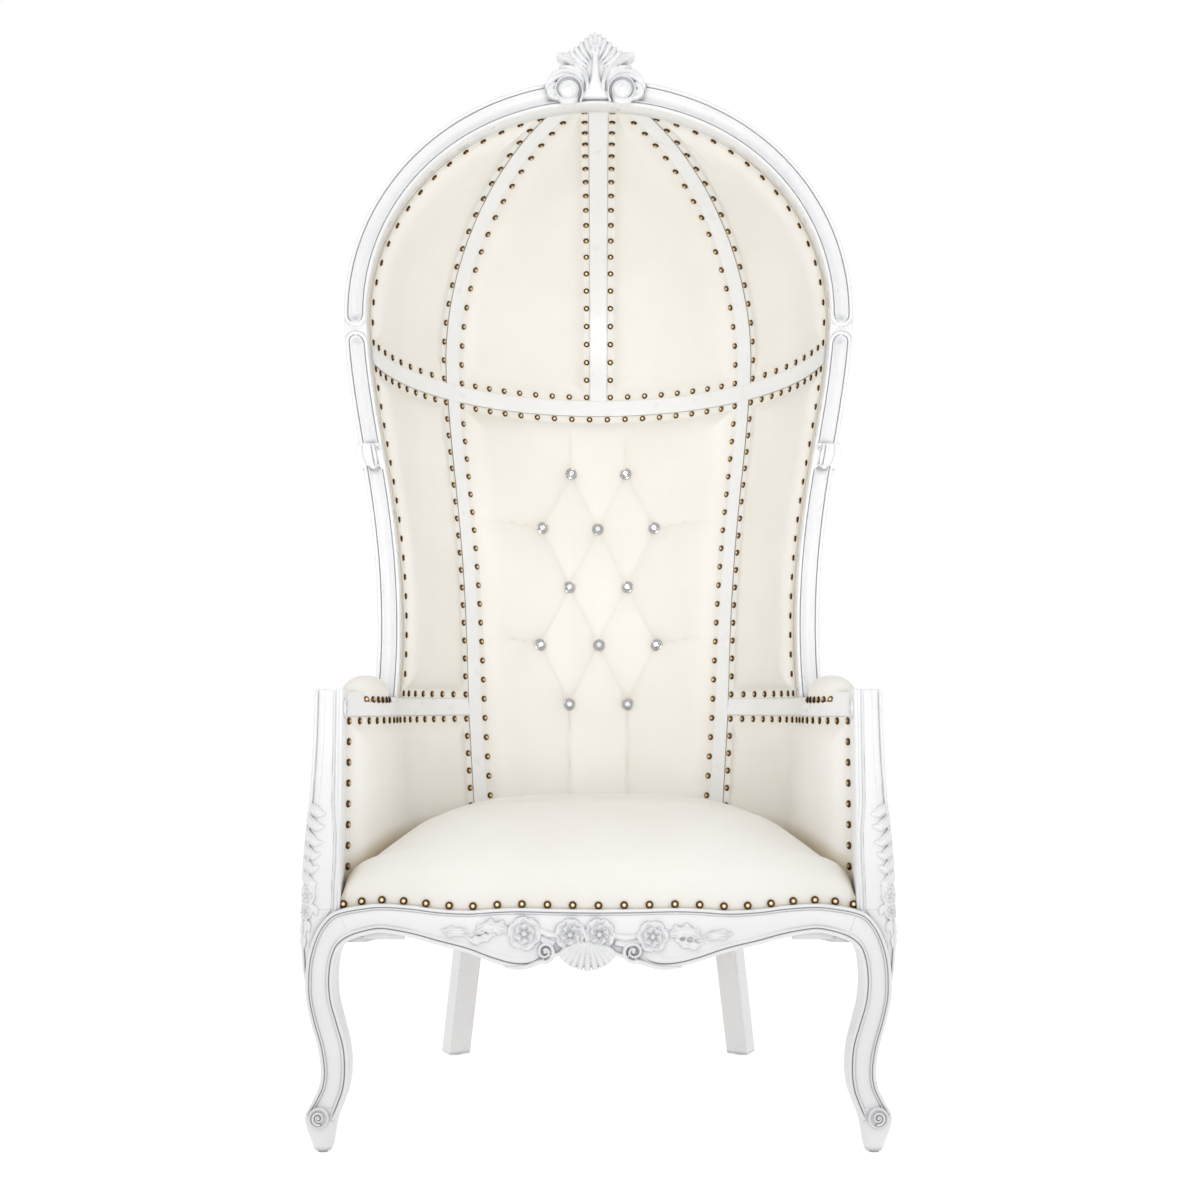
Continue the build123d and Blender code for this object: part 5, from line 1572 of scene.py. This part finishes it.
def make_collars():
    """Carved clasps round the hood posts at the top of their straight run."""
    rings = []
    for t in np.linspace(0, 1, 30):
        z = COLLAR_FOOT + COLLAR_LENGTH * t
        half = oval_at(z)[0]
        inner, outer = half + 6.5 - 2.0 * sin(pi * t), half + ARCH_OUTER + 3.0 + 4.5 * sin(pi * t)
        places = np.linspace(0, 1, 40)
        height = 3.0 + 2.5 * np.sin(pi * t) - 2.6 * (places - 0.45) ** 2 * 4
        for spot, deep in ((0.24, 1.5), (0.62, 2.0), (0.78, 1.6)):
            height = height - deep * np.exp(-((places - spot) / 0.028) ** 2)
        height = height + bead(places, 0.70, 0.06, 1.4)
        height = height * min(max(min(t, 1 - t) / 0.12, 0.0), 1.0) ** 0.5
        lift = 5.0 * (1 - t) * np.sin(pi * places * 2) ** 2
        ring = [(outer - (outer - inner) * p, ARCH_FACE + 1.6 - h, z + up)
                for p, h, up in zip(places, height, lift)]
        ring += [(inner, ARCH_FACE + 12.0, z), (inner, ARCH_BACK - 4.0, z), (outer, ARCH_BACK - 4.0, z),
                 (outer, ARCH_FACE + 10.0, z)]
        rings.append(ring)
    soup = Soup()
    soup.shell(*lofted(np.array(rings)))
    spot = oval_at(1068.0)[0] + 13.5
    for z in (1080.0, 1056.0):
        line = spiral((spot, z), np.linspace(0, 3.2 * pi, 40), np.linspace(4.6, 1.2, 40))
        tube(soup, on_front(ARCH_FACE + 1.0), line, np.linspace(1.5, 0.9, 40), 3.0)
    wooden_pair(soup, "hood_collar", "carved")


# The seat

SEAT_BASE = 345.0
SEAT_TOP = 500.0
SEAT_FRONT = -385.7
SEAT_BACK = 150.0
SEAT_RIM = 24.0
# The share of the depth where the seat stands highest
SEAT_PEAK = 0.62


def seat_half_width(y):
    """How wide the seat is at a depth, on the inside of the arms."""
    a, b = (size + INSIDE_CROWN - 1.0 for size in oval_at(420.0))
    if y <= POST_BACK:
        return POST_SPACE - 0.5
    if y >= HOOD_FRONT:
        return a * sqrt(max(1 - ((y - HOOD_FRONT) / b) ** 2, 0.0))
    return arm_arc(a, POST_SPACE - 12.0, y)[0]


def make_seat():
    """The crowned seat, with its front edge nailed along the rail."""
    rows, columns = 110, 150
    top = np.zeros((rows, columns, 3))
    for r, v in enumerate(np.linspace(0, 1, rows)):
        y = SEAT_FRONT + (SEAT_BACK - SEAT_FRONT) * v
        half = seat_half_width(y)
        ahead = min(v / SEAT_PEAK, 1.0)
        front = max(1 - (1 - ahead) ** 2.7, 0.0) ** 0.52 + 0.10 * sin(pi * ahead)
        back = max(1 - max((v - SEAT_PEAK) / (1 - SEAT_PEAK), 0.0) ** 2.6, 0.0) ** 0.5
        rise = (SEAT_TOP - SEAT_BASE - SEAT_RIM) * min(0.18 + 0.82 * front, 1.0) * (0.35 + 0.65 * back)
        for c, u in enumerate(np.linspace(-1, 1, columns)):
            side = max(1 - abs(u) ** 3.6, 0.0) ** 0.36
            top[r, c] = (half * u, y, SEAT_BASE + SEAT_RIM + rise * (side * 0.96 + 0.04))
    low = top.copy()
    low[..., 2] = SEAT_BASE
    soup = Soup()
    soup.shell(*slab_between(top, low))
    leather_piece(soup, "seat_leather", "seat_cover", "seat_foam", fill=0.9)


for step in (make_dome_panels, make_wall_panels, make_back, make_arch, make_rail_and_legs, make_front_posts,
             make_garland, make_crest, make_arm_pads, make_collars, make_seat, make_seat_nails):
    step()


# The solids and their finishes

def finish_solids():
    """Gives each solid the material of its slot, with the glue blocks painted over."""
    slots = {entry["node"]: entry["material_slot"] for entry in frame["record"]["subparts"]}
    for name, node in frame["nodes"].items():
        node.data.materials.clear()
        finish = LACQUER if "block" in name else FINISH.get(slots.get(name), LACQUER)
        node.data.materials.append(finish)


finish_solids()


# Stage, light and camera

FLOOR_RADIUS = 6.0
FLOOR_SIDES = 96
# Name, place, target, size, power and spread
LAMPS = (("key", (-1.6, -2.6, 2.9), (0.0, -0.1, 0.9), 1.6, 8.0, 180.0),
         ("fill", (1.9, -2.2, 1.4), (0.0, -0.1, 0.8), 1.8, 3.0, 180.0),
         ("front", (0.0, -3.6, 0.9), (0.0, 0.0, 0.7), 2.4, 5.0, 180.0),
         ("hood", (0.0, -1.5, 0.75), (0.0, 0.1, 1.55), 0.9, 2.1, 90.0),
         ("inner", (0.0, -1.3, 0.9), (0.0, 0.15, 0.8), 0.5, 0.36, 62.0))


def make_stage():
    """A white floor that keeps the chair's shadow, and gives off a little light of its own to the chair."""
    material, tree, shader = node_material("floor")
    tree.nodes.remove(shader)
    rays = tree.nodes.new("ShaderNodeLightPath").outputs
    seen = either(tree, rays["Is Camera Ray"], rays["Is Glossy Ray"])
    paint = add_node(tree, "ShaderNodeBsdfDiffuse", Color=(0.36, 0.36, 0.36, 1))
    glow = add_node(tree, "ShaderNodeEmission", Color=(0.82, 0.82, 0.82, 1))
    tree.links.new(seen, glow.inputs["Strength"])
    bounce = add_node(tree, "ShaderNodeBsdfDiffuse", Color=(0.9, 0.9, 0.9, 1))
    lift = add_node(tree, "ShaderNodeEmission", Color=(1, 1, 1, 1), Strength=0.22)
    unseen = joined(tree, "ShaderNodeAddShader", bounce.outputs[0], lift.outputs[0])
    shown = joined(tree, "ShaderNodeAddShader", paint.outputs[0], glow.outputs[0])
    chosen = joined(tree, "ShaderNodeMixShader", seen, unseen.outputs[0], shown.outputs[0])
    tree.links.new(chosen.outputs[0], tree.nodes["Material Output"].inputs["Surface"])
    mesh = bpy.data.meshes.new("floor")
    mesh.from_pydata(circle(FLOOR_RADIUS, FLOOR_SIDES, 0.0), [], [tuple(range(FLOOR_SIDES))])
    mesh.materials.append(material)
    floor = bpy.data.objects.new("floor", mesh)
    bpy.context.scene.collection.objects.link(floor)


def make_world():
    """Soft even light, and a plain white seen by camera, gloss and glass."""
    world = bpy.data.worlds.new("studio")
    bpy.context.scene.world = world
    world.use_nodes = True
    tree = world.node_tree
    tree.nodes.clear()
    rays = tree.nodes.new("ShaderNodeLightPath").outputs
    mirrored = either(tree, rays["Is Camera Ray"], rays["Is Glossy Ray"])
    seen = either(tree, mirrored, rays["Is Transmission Ray"])
    light = add_node(tree, "ShaderNodeBackground", Color=(0.99, 0.99, 1.0, 1), Strength=0.77)
    white = add_node(tree, "ShaderNodeBackground", Color=(1, 1, 1, 1), Strength=1.0)
    mix = joined(tree, "ShaderNodeMixShader", seen, light.outputs[0], white.outputs[0])
    out = tree.nodes.new("ShaderNodeOutputWorld")
    tree.links.new(mix.outputs[0], out.inputs["Surface"])


def make_lamp(name, place, target, size, power, spread):
    """A square soft box that looks at a point."""
    data = bpy.data.lights.new(name, "AREA")
    data.shape = "SQUARE"
    data.size = size
    data.energy = power
    data.spread = radians(spread)
    lamp = bpy.data.objects.new(name, data)
    lamp.location = place
    lamp.rotation_euler = (Vector(target) - Vector(place)).to_track_quat("-Z", "Y").to_euler()
    lamp.visible_camera = False
    bpy.context.scene.collection.objects.link(lamp)


def make_camera():
    """The camera at the photograph's height, distance and tilt."""
    data = bpy.data.cameras.new("camera")
    data.lens = CAMERA_LENS
    data.sensor_width = 36.0
    data.shift_x = CAMERA_SHIFT
    camera = bpy.data.objects.new("camera", data)
    camera.location = CAMERA_PLACE
    camera.rotation_euler = (radians(CAMERA_TILT), 0.0, 0.0)
    bpy.context.scene.collection.objects.link(camera)
    bpy.context.scene.camera = camera


make_stage()
make_world()
for lamp in LAMPS:
    make_lamp(*lamp)
make_camera()
bpy.context.scene.view_settings.view_transform = "Standard"
